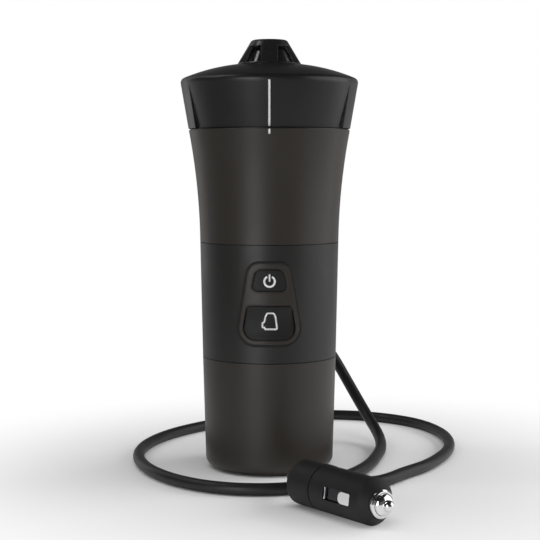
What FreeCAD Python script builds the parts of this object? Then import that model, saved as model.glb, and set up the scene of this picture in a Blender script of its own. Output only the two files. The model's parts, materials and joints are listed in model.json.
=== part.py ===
"""Car espresso maker: a tall travel machine for soft coffee pads with a 12 V cord.

Every size is in millimetres. The origin is the centre of the foot ring on the
surface, +Z runs up through the spout and the two buttons face -Y.
"""
import FreeCAD, Part
import Sketcher
import math
import os
import re

doc = FreeCAD.newDocument("CarEspressoMaker")

# Driving sizes
SIZES = {
    # Casing, from the surface up
    "floor_gap": 0.6,
    "over": 1,
    "base_radius": 33.1,
    "base_corner": 5,
    "shell_wall": 2.4,
    "seam_gap": 0.3,
    "lower_seam": 57.6,
    "lower_seam_radius": 34.5,
    "upper_seam": 117,
    "upper_seam_radius": 35.7,
    "sleeve_wall": 2.2,
    "lap_height": 3,
    "lap_wall": 1.1,
    "fit_gap": 0.2,
    "move_gap": 0.3,
    "collar_top": 174,
    "collar_radius": 41.35,
    "collar_step": 0.6,
    "collar_rise": 0.45,
    "flare_bend": 330,
    # Base plate with its rubber foot ring
    "ledge_bore": 18,
    "ledge_thick": 2.4,
    "plate_radius": 26.3,
    "plate_thick": 3.4,
    "plate_gap": 0.3,
    "foot_inner": 19.5,
    "foot_outer": 25,
    "foot_sunk": 0.6,
    "base_screw_circle": 22.3,
    "base_boss_radius": 3,
    "base_boss_height": 5.5,
    "screw_head": 2.4,
    "screw_head_thick": 1.3,
    "screw_shank": 1.25,
    "screw_gap": 0.05,
    "hole_gap": 0.15,
    "hole_over": 0.5,
    # Pump, standing in a cradle on the base plate
    "motor_radius": 12.2,
    "motor_height": 32,
    "motor_edge": 1,
    "motor_boss": 1,
    "boss_gap": 0.6,
    "damper_thick": 2.6,
    "cradle_wall": 2.2,
    "cradle_height": 8.8,
    "shaft_radius": 1,
    "shaft_gap": 0.05,
    "shaft_length": 27,
    "shaft_reach": 7.4,
    "pump_radius": 15.5,
    "pump_chamber": 9.5,
    "pump_height": 12,
    "pump_floor": 1.4,
    "pump_mouth": 4.2,
    "crank_radius": 5.5,
    "crank_thick": 4,
    "crank_gap": 0.025,
    "crank_offset": 2.6,
    "crank_pin": 1.1,
    "crank_pin_height": 3.2,
    "membrane_thick": 1,
    "pump_cover_thick": 5,
    "pump_screw_circle": 12.5,
    "pump_screw_bite": 6,
    "nipple_radius": 1.2,
    "nipple_height": 6,
    "nipple_root": 1,
    # Inner frame with the control board
    "frame_plate": 3,
    "frame_low_top": 61.5,
    "frame_gap": 0.4,
    "frame_high_top": 115,
    "frame_window": 20,
    "post_width": 6,
    "post_offset": 14.5,
    "rear_post_width": 12,
    "rear_post_inner": 19,
    "rear_post_outer": 26,
    "frame_screw_inset": 2.9,
    "frame_boss_radius": 3.5,
    "frame_boss_height": 26,
    "frame_screw_length": 14,
    "board_inset": 12.5,
    "board_thick": 1.6,
    "board_width": 35,
    "board_low": 63,
    "board_high": 110,
    "board_screw_inset": 4,
    "board_screw_bite": 3.6,
    "switch_width": 6,
    "switch_height": 3.5,
    "plunger_radius": 1.75,
    "plunger_height": 1,
    "plunger_root": 0.5,
    # Button panel
    "panel_low": 66.6,
    "panel_high": 108.5,
    "panel_low_half": 17.3,
    "panel_high_half": 10.5,
    "panel_low_corner": 9,
    "panel_high_corner": 6.5,
    "panel_proud": 0.3,
    "panel_rim": 2,
    "rim_thick": 1.1,
    "power_low": 94,
    "power_high": 104.9,
    "power_low_half": 8.9,
    "power_high_half": 7.1,
    "power_low_corner": 2.6,
    "power_high_corner": 4.4,
    "brew_low": 69.6,
    "brew_high": 86.7,
    "brew_low_half": 14.1,
    "brew_high_half": 11.3,
    "brew_low_corner": 6,
    "brew_high_corner": 2.8,
    "button_gap": 0.25,
    "button_proud": 0.1,
    "button_flange": 1.2,
    "button_travel": 0.8,
    "stem_radius": 2,
    "trim_reach": 18,
    "dish_margin": 1.1,
    "dish_bend": 23,
    # Cord gland on the back
    "gland_height": 88,
    "gland_neck": 4.9,
    "gland_flange": 7,
    "gland_flange_thick": 1.8,
    "gland_inside": 6.5,
    "gland_root": 5.6,
    "gland_tip": 4.2,
    "gland_end": 56,
    "gland_groove": 0.8,
    "gland_pitch": 4.4,
    "gland_slot": 1.6,
    "gland_nut_radius": 8,
    "gland_nut_thick": 1.9,
    "gland_nut_inset": 0.6,
    "cord_diameter": 6,
    # Water tank, heater and neck
    "tank_inner": 27.5,
    "tank_wall": 0.8,
    "tank_bottom": 119,
    "tank_corner": 4,
    "gasket_thick": 0.8,
    "gasket_inset": 2.6,
    "heater_low": 124,
    "heater_high": 146,
    "heater_thick": 1.2,
    "heater_gap": 0.1,
    "heater_slit": 5,
    "ear_reach": 3,
    "ear_width": 1.6,
    "ear_height": 10,
    "neck_radius": 37.3,
    "neck_wall": 2,
    "neck_rise": 10,
    "pad_well": 6,
    "neck_bottom": 164,
    "neck_gap": 0.5,
    "skirt_inset": 1.3,
    "neck_flange_step": 0.8,
    "neck_flange_thick": 2.2,
    "flange_gap": 0.4,
    "tie_offset": 2.8,
    "tie_radius": 1.2,
    "tie_length": 58,
    "tie_head": 1.7,
    "valve_offset": 10,
    "valve_lift": 6,
    "check_valve_radius": 4,
    "safety_valve_radius": 3.5,
    "valve_height": 5.5,
    "safety_cap_radius": 2.1,
    "tube_radius": 2.5,
    "tube_gap": 0.5,
    "tube_seat": 1,
    "thermostat_radius": 7.5,
    "thermostat_height": 4,
    "thermostat_place": 11,
    "thermostat_foot": 5.2,
    "thermostat_drop": 2.4,
    "link_radius": 2.2,
    "link_length": 11,
    "link_place": 14,
    # Pad holder
    "holder_gap": 0.7,
    "holder_flange_thick": 1.2,
    "cup_gap": 0.5,
    "holder_cup_depth": 8,
    "holder_wall": 0.9,
    "holder_hole": 1,
    "hole_pitch": 6.2,
    # Lid
    "lid_gap": 0.8,
    "lid_side_height": 22.8,
    "lid_low_radius": 41.5,
    "lid_high_radius": 45.4,
    "shoulder_step": 1.8,
    "shoulder_rise": 3,
    "shoulder_bend": 2.6,
    "dome_rise": 6.9,
    "dome_bend": 98,
    "lid_wall": 2.4,
    "lid_bore_gap": 0.6,
    "thread_height": 9.7,
    "grip_recess": 1.55,
    "grip_half_angle": 27,
    "grip_margin": 0.6,
    "seal_width": 3,
    "seal_lip": 1.2,
    "head_reach": 0.1,
    "head_height": 6,
    "head_wall": 6.2,
    "head_cavity_depth": 3.2,
    "head_outlet": 4,
    "hole_floor": 1,
    "screen_gap": 0.8,
    "screen_thick": 1.1,
    "screen_drop": 0.5,
    "screen_pitch": 9.9,
    "screen_screw_circle": 15.5,
    "screen_screw_length": 4.1,
    "screen_boss_height": 3,
    "small_screw_head": 1.9,
    "small_head_thick": 0.9,
    "small_screw_shank": 0.9,
    "lid_screw_circle": 25,
    "lid_boss_radius": 3,
    "lid_screw_bite": 7,
    # Spout
    "spout_height": 12.5,
    "spout_base_radius": 16.5,
    "spout_slope": 0.6,
    "spout_edge": 1.2,
    "spout_edge_bend": 2.2,
    "spout_wall": 2.5,
    "spout_rib": 8.7,
    "spout_head": 3.5,
    "spout_sill": 0.8,
    "spout_eye": 5.4,
    "nozzle_radius": 12.6,
    "nozzle_taper": 4.5,
    "nozzle_wall": 2,
    "nozzle_tip": 5.2,
    "nozzle_bore": 3.2,
    "nozzle_flange": 15,
    "nozzle_flange_thick": 2.4,
    # Plug for the 12 V socket, measured along its own axis from its rear face
    "plug_x": 15.5,
    "plug_y": -85.1,
    "plug_heading": -53.1,
    "plug_roll": 6.7,
    "plug_lift": 0.05,
    "plug_radius": 10.45,
    "plug_wall": 2,
    "plug_seam": 17.2,
    "plug_edge": 2,
    "plug_nose": 50.3,
    "plug_front": 54,
    "plug_front_radius": 6.9,
    "plug_spigot": 4,
    "plug_start": 52.5,
    "spigot_wall": 1.6,
    "plug_collar": 2,
    "plug_collar_radius": 4.8,
    "window_start": 27.1,
    "window_end": 45.4,
    "window_width": 5.9,
    "carrier_half": 4.6,
    "carrier_width": 7,
    "carrier_start": 22,
    "carrier_end": 46,
    "contact_gap": 0.3,
    "contact_sunk": 0.15,
    "contact_thick": 0.7,
    "contact_base": 7,
    "contact_tab": 0.7,
    "contact_floor": 8.5,
    "contact_pad": 7.6,
    "pad_corner": 2.5,
    "lip_inset": 0.6,
    "nut_radius": 6.4,
    "nut_thick": 2.2,
    "nut_edge": 0.65,
    "nut_bore": 5.1,
    "nut_neck": 5.7,
    "nut_neck_length": 3.2,
    "tip_radius": 4.95,
    "tip_flange": 6.4,
    "tip_flange_thick": 1.2,
    "tip_step": 1,
    "tip_rise": 1.7,
    "tip_collar": 0.5,
    "tip_dome": 3.6,
    "tip_ball": 2.6,
    "spring_radius": 2.5,
    "spring_wire": 0.35,
    "spring_turns": 4,
    "fuse_radius": 2.6,
    "fuse_length": 17,
    "fuse_cap": 4,
    "fuse_cap_wall": 0.3,
    "fuse_bore": 3,
}

sheet = doc.addObject("Spreadsheet::Sheet", "Sizes")
for row, (word, size) in enumerate(SIZES.items(), start=1):
    sheet.set("A%d" % row, word)
    sheet.set("B%d" % row, str(size))
    sheet.setAlias("B%d" % row, word)
doc.recompute()

parts = []


def bound(formula):
    """A formula written with the sheet's words, made ready for an object outside the sheet."""
    return re.sub("[a-z_]+", lambda found: "Sizes." * (found.group() in SIZES) + found.group(), formula)


def num(formula):
    """The present value of a formula."""
    return float(sheet.evalExpression(formula))


def tie(thing, field, formula):
    """Binds one property of an object to a formula of the sheet."""
    thing.setExpression(field, bound(formula))


def new_body(label):
    body = doc.addObject("PartDesign::Body", label)
    body.Label = label
    return body


def plane(body, role):
    for feature in body.Origin.OriginFeatures:
        if feature.Role == role:
            return feature


def new_sketch(body, role, name):
    sketch = body.newObject("Sketcher::SketchObject", name)
    sketch.AttachmentSupport = [(plane(body, role), "")]
    sketch.MapMode = "FlatFace"
    return sketch


def pin_point(sketch, shape, end, across, up):
    """Holds one end of an edge at a place given by two formulas."""
    for kind, axis, formula in (("DistanceX", -2, across), ("DistanceY", -1, up)):
        if formula == "0":
            sketch.addConstraint(Sketcher.Constraint("PointOnObject", shape, end, axis))
        else:
            index = sketch.addConstraint(Sketcher.Constraint(kind, -1, 1, shape, end, num(formula)))
            sketch.setExpression("Constraints[%d]" % index, bound(formula))


def draw(sketch, corners):
    """A closed outline. A third item bends the edge that ends there: + has its centre on the left."""
    places = [FreeCAD.Vector(num(corner[0]), num(corner[1]), 0) for corner in corners]
    ends = []
    for index, corner in enumerate(corners):
        start, end = places[index - 1], places[index]
        if len(corner) == 2:
            shape = sketch.addGeometry(Part.LineSegment(start, end))
            ends.append((shape, 1, 2))
            continue
        bend = num(corner[2])
        along = end - start
        aside = FreeCAD.Vector(-along.y, along.x, 0).normalize()
        height = math.sqrt(bend * bend - along.Length * along.Length / 4)
        centre = (start + end) * 0.5 + aside * math.copysign(height, bend)
        first, last = (start, end) if bend > 0 else (end, start)
        turn_start = math.atan2(first.y - centre.y, first.x - centre.x)
        turn_end = math.atan2(last.y - centre.y, last.x - centre.x)
        circle = Part.Circle(centre, FreeCAD.Vector(0, 0, 1), abs(bend))
        shape = sketch.addGeometry(Part.ArcOfCircle(circle, turn_start, turn_end))
        ends.append((shape, 1, 2) if bend > 0 else (shape, 2, 1))
        index_radius = sketch.addConstraint(Sketcher.Constraint("Radius", shape, abs(bend)))
        sketch.setExpression("Constraints[%d]" % index_radius, bound(corner[2].lstrip("-")))
    for index, (shape, _, last) in enumerate(ends):
        following, first, _ = ends[(index + 1) % len(ends)]
        sketch.addConstraint(Sketcher.Constraint("Coincident", shape, last, following, first))
    for (shape, _, last), corner in zip(ends, corners):
        pin_point(sketch, shape, last, corner[0], corner[1])


def ring_hole(sketch, across, up, radius):
    """A circle placed and sized by formulas."""
    centre = FreeCAD.Vector(num(across), num(up), 0)
    shape = sketch.addGeometry(Part.Circle(centre, FreeCAD.Vector(0, 0, 1), num(radius)))
    pin_point(sketch, shape, 3, across, up)
    index = sketch.addConstraint(Sketcher.Constraint("Radius", shape, num(radius)))
    sketch.setExpression("Constraints[%d]" % index, bound(radius))


def rounded(sketch, corners):
    """A closed outline of straight sides with a tangent arc in each corner: (across, up, radius)."""
    count = len(corners)
    places = [FreeCAD.Vector(num(corner[0]), num(corner[1]), 0) for corner in corners]
    marks = []
    cuts = []
    for index, corner in enumerate(corners):
        here = places[index]
        back = (places[index - 1] - here).normalize()
        ahead = (places[(index + 1) % count] - here).normalize()
        half = back.getAngle(ahead) / 2
        reach = num(corner[2]) / math.tan(half)
        centre = here + (back + ahead).normalize() * (num(corner[2]) / math.sin(half))
        cuts.append((here + back * reach, here + ahead * reach, centre))
        marks.append(sketch.addGeometry(Part.Point(here), True))
        pin_point(sketch, marks[-1], 1, corner[0], corner[1])
    sides = []
    for index in range(count):
        ahead = (index + 1) % count
        sides.append(sketch.addGeometry(Part.LineSegment(cuts[index][1], cuts[ahead][0])))
    for index in range(count):
        enter, leave, centre = cuts[index]
        radius = (enter - centre).Length
        turn_start = math.atan2(enter.y - centre.y, enter.x - centre.x)
        turn_end = math.atan2(leave.y - centre.y, leave.x - centre.x)
        circle = Part.Circle(centre, FreeCAD.Vector(0, 0, 1), radius)
        arc = sketch.addGeometry(Part.ArcOfCircle(circle, turn_start, turn_end))
        sketch.addConstraint(Sketcher.Constraint("Tangent", sides[index - 1], 2, arc, 1))
        sketch.addConstraint(Sketcher.Constraint("Tangent", arc, 2, sides[index], 1))
        place = sketch.addConstraint(Sketcher.Constraint("Radius", arc, radius))
        sketch.setExpression("Constraints[%d]" % place, bound(corners[index][2]))
    for index in range(count):
        sketch.addConstraint(Sketcher.Constraint("PointOnObject", marks[index], 1, sides[index]))
        following = marks[(index + 1) % count]
        sketch.addConstraint(Sketcher.Constraint("PointOnObject", following, 1, sides[index]))


def turned(label, corners, role="XZ_Plane", start="0"):
    """A body turned about the upright axis of its own sketch. The start says where its seam line lies."""
    body = new_body(label)
    sketch = new_sketch(body, role, label + "_profile")
    sketch.AttachmentOffset.Rotation = FreeCAD.Rotation(FreeCAD.Vector(0, 1, 0), num(start))
    draw(sketch, corners)
    feature = body.newObject("PartDesign::Revolution", label + "_turned")
    feature.Profile = sketch
    feature.ReferenceAxis = (sketch, ["V_Axis"])
    feature.Angle = 360
    doc.recompute()
    return body


def turned_cut(body, corners, name, role="XZ_Plane"):
    """Takes a turned ring of material away."""
    before = body.Shape.Volume
    sketch = new_sketch(body, role, name + "_profile")
    draw(sketch, corners)
    feature = body.newObject("PartDesign::Groove", name)
    feature.Profile = sketch
    feature.ReferenceAxis = (sketch, ["V_Axis"])
    feature.Angle = 360
    doc.recompute()
    if body.Shape.Volume >= before:
        raise RuntimeError(name + " removes nothing")
    return feature


def padded(body, sketch, name, length, back=None):
    """Raises a sketch along its own normal, and the other way as well where back is given."""
    feature = body.newObject("PartDesign::Pad", name)
    feature.Profile = sketch
    if back:
        feature.SideType = "Two sides"
        tie(feature, "Length2", back)
    tie(feature, "Length", length)
    doc.recompute()
    return feature


def pocketed(body, sketch, name, length, reverse=False):
    before = body.Shape.Volume
    feature = body.newObject("PartDesign::Pocket", name)
    feature.Profile = sketch
    feature.Reversed = reverse
    tie(feature, "Length", length)
    doc.recompute()
    if body.Shape.Volume >= before:
        raise RuntimeError(name + " removes nothing")
    return feature


def lift(sketch, formula):
    """Moves a sketch off its plane, along the plane's normal."""
    tie(sketch, "AttachmentOffset.Base.z", formula)


def around(body, feature, count, name):
    """Repeats a feature evenly about the upright axis."""
    pattern = body.newObject("PartDesign::PolarPattern", name)
    pattern.Originals = [feature]
    pattern.Axis = (plane(body, "Z_Axis"), [""])
    pattern.Angle = 360
    pattern.Occurrences = count
    body.Tip = pattern
    doc.recompute()
    return pattern


def keep(thing):
    parts.append(thing)
    return thing


def rod(name, radius, height, place=("0", "0", "0"), turn=None):
    """A plain cylinder, standing on its place unless it is turned."""
    thing = doc.addObject("Part::Cylinder", name)
    tie(thing, "Radius", radius)
    tie(thing, "Height", height)
    seat(thing, place, turn)
    return thing


def seat(thing, place, turn=None):
    if turn:
        thing.Placement.Rotation = FreeCAD.Rotation(turn[0], turn[1])
    for letter, formula in zip("xyz", place):
        tie(thing, "Placement.Base." + letter, formula)


def block(name, sizes, place):
    thing = doc.addObject("Part::Box", name)
    for field, formula in zip(("Length", "Width", "Height"), sizes):
        tie(thing, field, formula)
    seat(thing, place)
    return thing


def joined(label, pieces):
    thing = doc.addObject("Part::MultiFuse", label)
    thing.Label = label
    thing.Shapes = pieces
    return thing


def less(label, base, tools):
    thing = doc.addObject("Part::Cut", label)
    thing.Label = label
    thing.Base = base
    if len(tools) == 1:
        thing.Tool = tools[0]
    else:
        thing.Tool = joined(label + "_tools", tools)
    return thing


def group(label, pieces):
    thing = doc.addObject("Part::Compound", label)
    thing.Label = label
    thing.Links = pieces
    return keep(thing)


def screw(name, place, sizes, down=True):
    """A pan head screw. The place is the middle of its seat under the head, and down is where it points."""
    head_radius, head_thick, shank_radius, length = sizes
    across, along, height = place
    if down:
        head = rod(name + "_head", head_radius, head_thick, place)
        shank = rod(name + "_shank", shank_radius, length, (across, along, "(%s) - (%s)" % (height, length)))
    else:
        low = "(%s) - (%s)" % (height, head_thick)
        head = rod(name + "_head", head_radius, head_thick, (across, along, low))
        shank = rod(name + "_shank", shank_radius, length, place)
    return joined(name, [head, shank])


def on_circle(radius, angle):
    return "(%s) * cos(%g)" % (radius, angle), "(%s) * sin(%g)" % (radius, angle)


def drill(name, radius, place, low, high):
    """A round cutter that runs past both of the levels it goes through."""
    return rod(name, radius, "(%s) - (%s) + over * 2" % (high, low), (*place, "(%s) - over" % low))


THIRDS = (30, 150, 270)
OTHER_THIRDS = (90, 210, 330)
TIE_ANGLES = (60, 180, 300)
QUARTERS = (45, 135, 225, 315)


def wall_at(height):
    """Outer radius of the middle sleeve at a height."""
    slope = "(upper_seam_radius - lower_seam_radius) / (upper_seam - lower_seam)"
    return "(lower_seam_radius + ((%s) - lower_seam) * %s)" % (height, slope)


VALVE_PLACE = ("valve_offset", "valve_lift")
LOW_DISC = "(lower_seam_radius - shell_wall - move_gap)"
HIGH_DISC = "(upper_seam_radius - shell_wall - frame_gap)"
FRAME_CIRCLE = LOW_DISC + " - frame_screw_inset"
SLEEVE_MIDDLE = "(lower_seam_radius + upper_seam_radius) / 2"
BOARD_FRONT = "(" + SLEEVE_MIDDLE + " - board_inset)"
GLAND_SEAT = "(" + SLEEVE_MIDDLE + " + move_gap)"
GLAND_START = GLAND_SEAT + " - gland_inside"


# Foot and base plate
PLATE_LOW = "floor_gap + plate_gap"
PLATE_TOP = "floor_gap + plate_gap + plate_thick"
LEDGE_LOW = "floor_gap + plate_gap + plate_thick + fit_gap"
LEDGE_TOP = "floor_gap + plate_gap + plate_thick + fit_gap + ledge_thick"
GROOVE_TOP = "floor_gap + plate_gap + foot_sunk + fit_gap"
HEAD_SEAT = "floor_gap + plate_gap + foot_sunk + fit_gap + screw_head_thick + fit_gap"

keep(turned("foot_ring", [
    ("foot_inner", "0"),
    ("foot_outer", "0"),
    ("foot_outer", "floor_gap + plate_gap + foot_sunk"),
    ("foot_inner", "floor_gap + plate_gap + foot_sunk"),
]))

base_plate = turned("base_plate", [
    ("0", PLATE_LOW),
    ("foot_inner - fit_gap", PLATE_LOW),
    ("foot_inner - fit_gap", GROOVE_TOP),
    ("foot_outer + fit_gap", GROOVE_TOP),
    ("foot_outer + fit_gap", PLATE_LOW),
    ("plate_radius", PLATE_LOW),
    ("plate_radius", PLATE_TOP),
    ("motor_radius + fit_gap + cradle_wall", PLATE_TOP),
    ("motor_radius + fit_gap + cradle_wall", PLATE_TOP + " + cradle_height"),
    ("motor_radius + fit_gap", PLATE_TOP + " + cradle_height"),
    ("motor_radius + fit_gap", PLATE_TOP),
    ("0", PLATE_TOP),
])
holes = new_sketch(base_plate, "XY_Plane", "base_screw_holes")
for angle in THIRDS:
    ring_hole(holes, *on_circle("base_screw_circle", angle), "screw_shank + hole_gap")
pocketed(base_plate, holes, "base_screw_bores", PLATE_TOP + " + fit_gap", reverse=True)
holes = new_sketch(base_plate, "XY_Plane", "base_head_holes")
for angle in THIRDS:
    ring_hole(holes, *on_circle("base_screw_circle", angle), "screw_head + fit_gap")
pocketed(base_plate, holes, "base_head_bores", HEAD_SEAT, reverse=True)
keep(base_plate)

group("base_screws", [
    screw(
        "base_screw_%d" % angle,
        (*on_circle("base_screw_circle", angle), HEAD_SEAT),
        ("screw_head", "screw_head_thick", "screw_shank", "plate_thick + base_boss_height"),
        down=False,
    )
    for angle in THIRDS
])

# Lower shell
bottom_shell = turned("bottom_shell", [
    ("base_radius - base_corner", "floor_gap"),
    ("base_radius", "floor_gap + base_corner", "base_corner"),
    ("lower_seam_radius", "lower_seam"),
    ("lower_seam_radius - shell_wall + lap_wall", "lower_seam"),
    ("lower_seam_radius - shell_wall + lap_wall", "lower_seam + lap_height"),
    ("lower_seam_radius - shell_wall", "lower_seam + lap_height"),
    ("lower_seam_radius - shell_wall", "lower_seam"),
    ("base_radius - shell_wall", LEDGE_TOP),
    ("ledge_bore", LEDGE_TOP),
    ("ledge_bore", LEDGE_LOW),
    ("plate_radius + fit_gap", LEDGE_LOW),
    ("plate_radius + fit_gap", "floor_gap"),
])
bosses = new_sketch(bottom_shell, "XY_Plane", "base_boss_rounds")
lift(bosses, LEDGE_TOP + " - ledge_thick / 2")
for angle in THIRDS:
    ring_hole(bosses, *on_circle("base_screw_circle", angle), "base_boss_radius")
padded(bottom_shell, bosses, "base_bosses", "base_boss_height + ledge_thick / 2")
FRAME_LOW = "frame_low_top - frame_plate"
BOSS_TOP = "frame_low_top - frame_plate - move_gap"
bosses = new_sketch(bottom_shell, "XY_Plane", "frame_boss_rounds")
lift(bosses, BOSS_TOP + " - frame_boss_height")
for angle in THIRDS:
    ring_hole(bosses, *on_circle(FRAME_CIRCLE, angle), "frame_boss_radius")
padded(bottom_shell, bosses, "frame_bosses", "frame_boss_height")
holes = new_sketch(bottom_shell, "XY_Plane", "boss_screw_holes")
for angle in THIRDS:
    ring_hole(holes, *on_circle("base_screw_circle", angle), "screw_shank + screw_gap")
BORE_TOP = HEAD_SEAT + " + plate_thick + base_boss_height + hole_over"
pocketed(bottom_shell, holes, "boss_screw_bores", BORE_TOP, reverse=True)
holes = new_sketch(bottom_shell, "XY_Plane", "frame_screw_holes")
lift(holes, "frame_low_top - frame_screw_length - hole_over")
for angle in THIRDS:
    ring_hole(holes, *on_circle(FRAME_CIRCLE, angle), "screw_shank + screw_gap")
pocketed(bottom_shell, holes, "frame_screw_bores", "frame_screw_length", reverse=True)
keep(bottom_shell)

# Air pump with its motor
MOTOR_LOW = PLATE_TOP + " + damper_thick + fit_gap"
MOTOR_TOP = MOTOR_LOW + " + motor_height"
keep(turned("motor_damper", [
    ("0", PLATE_TOP + " + screw_gap"),
    ("motor_radius", PLATE_TOP + " + screw_gap"),
    ("motor_radius", PLATE_TOP + " + damper_thick"),
    ("0", PLATE_TOP + " + damper_thick"),
]))
keep(turned("pump_motor", [
    ("0", MOTOR_LOW),
    ("motor_radius - motor_edge", MOTOR_LOW),
    ("motor_radius", MOTOR_LOW + " + motor_edge"),
    ("motor_radius", MOTOR_TOP + " - motor_edge"),
    ("motor_radius - motor_edge", MOTOR_TOP),
    ("pump_mouth - boss_gap", MOTOR_TOP),
    ("pump_mouth - boss_gap", MOTOR_TOP + " + motor_boss"),
    ("shaft_radius + shaft_gap", MOTOR_TOP + " + motor_boss"),
    ("shaft_radius + shaft_gap", MOTOR_TOP + " + shaft_reach - shaft_length - fit_gap"),
    ("0", MOTOR_TOP + " + shaft_reach - shaft_length - fit_gap"),
]))
SHAFT_LOW = MOTOR_TOP + " + shaft_reach - shaft_length"
keep(rod("motor_shaft", "shaft_radius", "shaft_length", ("0", "0", SHAFT_LOW)))
HOUSING_LOW = MOTOR_TOP + " + screw_gap"
HOUSING_TOP = HOUSING_LOW + " + pump_height"
CRANK_LOW = HOUSING_LOW + " + pump_floor + fit_gap"
pump_crank = turned("pump_crank", [
    ("shaft_radius + crank_gap", CRANK_LOW),
    ("crank_radius", CRANK_LOW),
    ("crank_radius", CRANK_LOW + " + crank_thick"),
    ("shaft_radius + crank_gap", CRANK_LOW + " + crank_thick"),
])
pin = new_sketch(pump_crank, "XY_Plane", "crank_pin_round")
lift(pin, CRANK_LOW + " + crank_thick / 2")
ring_hole(pin, "crank_offset", "0", "crank_pin")
padded(pump_crank, pin, "crank_pin_pad", "crank_thick / 2 + crank_pin_height")
keep(pump_crank)

pump_housing = turned("pump_housing", [
    ("pump_mouth", HOUSING_LOW),
    ("pump_radius", HOUSING_LOW),
    ("pump_radius", HOUSING_TOP),
    ("pump_chamber", HOUSING_TOP),
    ("pump_chamber", HOUSING_LOW + " + pump_floor"),
    ("pump_mouth", HOUSING_LOW + " + pump_floor"),
])
holes = new_sketch(pump_housing, "XY_Plane", "pump_screw_holes")
lift(holes, HOUSING_LOW + " + pump_floor")
for angle in OTHER_THIRDS:
    ring_hole(holes, *on_circle("pump_screw_circle", angle), "small_screw_shank + screw_gap")
pocketed(pump_housing, holes, "pump_screw_bores", "pump_height", reverse=True)
keep(pump_housing)

COVER_LOW = HOUSING_TOP + " + membrane_thick + screw_gap * 2"
COVER_TOP = COVER_LOW + " + pump_cover_thick"


def with_screw_holes(label, low, high, extra=None):
    disc = rod(label + "_disc", "pump_radius", "(%s) - (%s)" % (high, low), ("0", "0", low))
    solid = joined(label + "_solid", [disc, extra]) if extra else disc
    tools = [
        rod(
            "%s_hole_%d" % (label, angle),
            "small_screw_shank + screw_gap",
            "(%s) - (%s)" % (high, low),
            (*on_circle("pump_screw_circle", angle), low),
        )
        for angle in OTHER_THIRDS
    ]
    return keep(less(label, solid, tools))


with_screw_holes("pump_membrane", HOUSING_TOP + " + screw_gap", HOUSING_TOP + " + screw_gap + membrane_thick")
nipple = rod("pump_nipple", "nipple_radius", "nipple_height", (*VALVE_PLACE, COVER_TOP))
with_screw_holes("pump_cover", COVER_LOW, COVER_TOP, nipple)
group("pump_screws", [
    screw(
        "pump_screw_%d" % angle,
        (*on_circle("pump_screw_circle", angle), COVER_TOP),
        ("small_screw_head", "small_head_thick", "small_screw_shank", "pump_cover_thick + pump_screw_bite"),
    )
    for angle in OTHER_THIRDS
])

# Inner frame
TANK_OUTER = "tank_inner + tank_wall"
TIE_CIRCLE = "tank_inner + tank_wall + tie_offset"
frame_solids = [
    rod("frame_low_disc", LOW_DISC, "frame_plate", ("0", "0", FRAME_LOW)),
    rod("frame_high_disc", HIGH_DISC, "frame_plate", ("0", "0", "frame_high_top - frame_plate")),
    block(
        "frame_rear_post",
        ("rear_post_width", "rear_post_outer - rear_post_inner", "frame_high_top - frame_low_top"),
        ("0 - rear_post_width / 2", "rear_post_inner", "frame_low_top - frame_plate / 2"),
    ),
]
BOARD_BACK = BOARD_FRONT + " - board_thick"
POST_LOW = "frame_low_top - frame_plate / 2"
for side in (-1, 1):
    frame_solids.append(block(
        "frame_board_post_%s" % ("left" if side < 0 else "right"),
        ("post_width", "post_width", "frame_high_top - frame_low_top"),
        ("%d * post_offset - post_width / 2" % side, "0 - (%s)" % BOARD_BACK, POST_LOW),
    ))
frame_cuts = [
    drill("frame_high_window", "frame_window", ("0", "0"), "frame_high_top - frame_plate", "frame_high_top"),
    drill("frame_tube_hole", "tube_radius + tube_gap", VALVE_PLACE, FRAME_LOW, "frame_low_top"),
]
for angle in THIRDS:
    frame_cuts.append(drill(
        "frame_screw_hole_%d" % angle,
        "screw_shank + fit_gap",
        on_circle(FRAME_CIRCLE, angle),
        FRAME_LOW,
        "frame_low_top",
    ))
for angle in TIE_ANGLES:
    frame_cuts.append(drill(
        "frame_tie_hole_%d" % angle,
        "tie_radius + fit_gap",
        on_circle(TIE_CIRCLE, angle),
        "frame_high_top - frame_plate",
        "frame_high_top",
    ))
BOARD_ROWS = ("board_low + board_screw_inset", "board_high - board_screw_inset")
AHEAD = (FreeCAD.Vector(1, 0, 0), 90)
for side in (-1, 1):
    for row, level in enumerate(BOARD_ROWS):
        frame_cuts.append(rod(
            "frame_board_hole_%d_%d" % (side + 1, row),
            "small_screw_shank + screw_gap",
            "post_width",
            ("%d * post_offset" % side, "0 - (%s) + post_width - over" % BOARD_BACK, level),
            AHEAD,
        ))
keep(less("inner_frame", joined("frame_solid", frame_solids), frame_cuts))

group("frame_screws", [
    screw(
        "frame_screw_%d" % angle,
        (*on_circle(FRAME_CIRCLE, angle), "frame_low_top"),
        ("screw_head", "screw_head_thick", "screw_shank", "frame_screw_length"),
    )
    for angle in THIRDS
])

# Control board with its two switches
board = block(
    "control_board_plate",
    ("board_width", "board_thick - screw_gap", "board_high - board_low"),
    ("0 - board_width / 2", "0 - " + BOARD_FRONT, "board_low"),
)
board_cuts = []
for side in (-1, 1):
    for row, level in enumerate(BOARD_ROWS):
        board_cuts.append(rod(
            "control_board_hole_%d_%d" % (side + 1, row),
            "small_screw_shank + fit_gap",
            "board_thick + over * 2",
            ("%d * post_offset" % side, "0 - " + BOARD_FRONT + " + board_thick + over", level),
            AHEAD,
        ))
keep(less("control_board", board, board_cuts))

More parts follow.
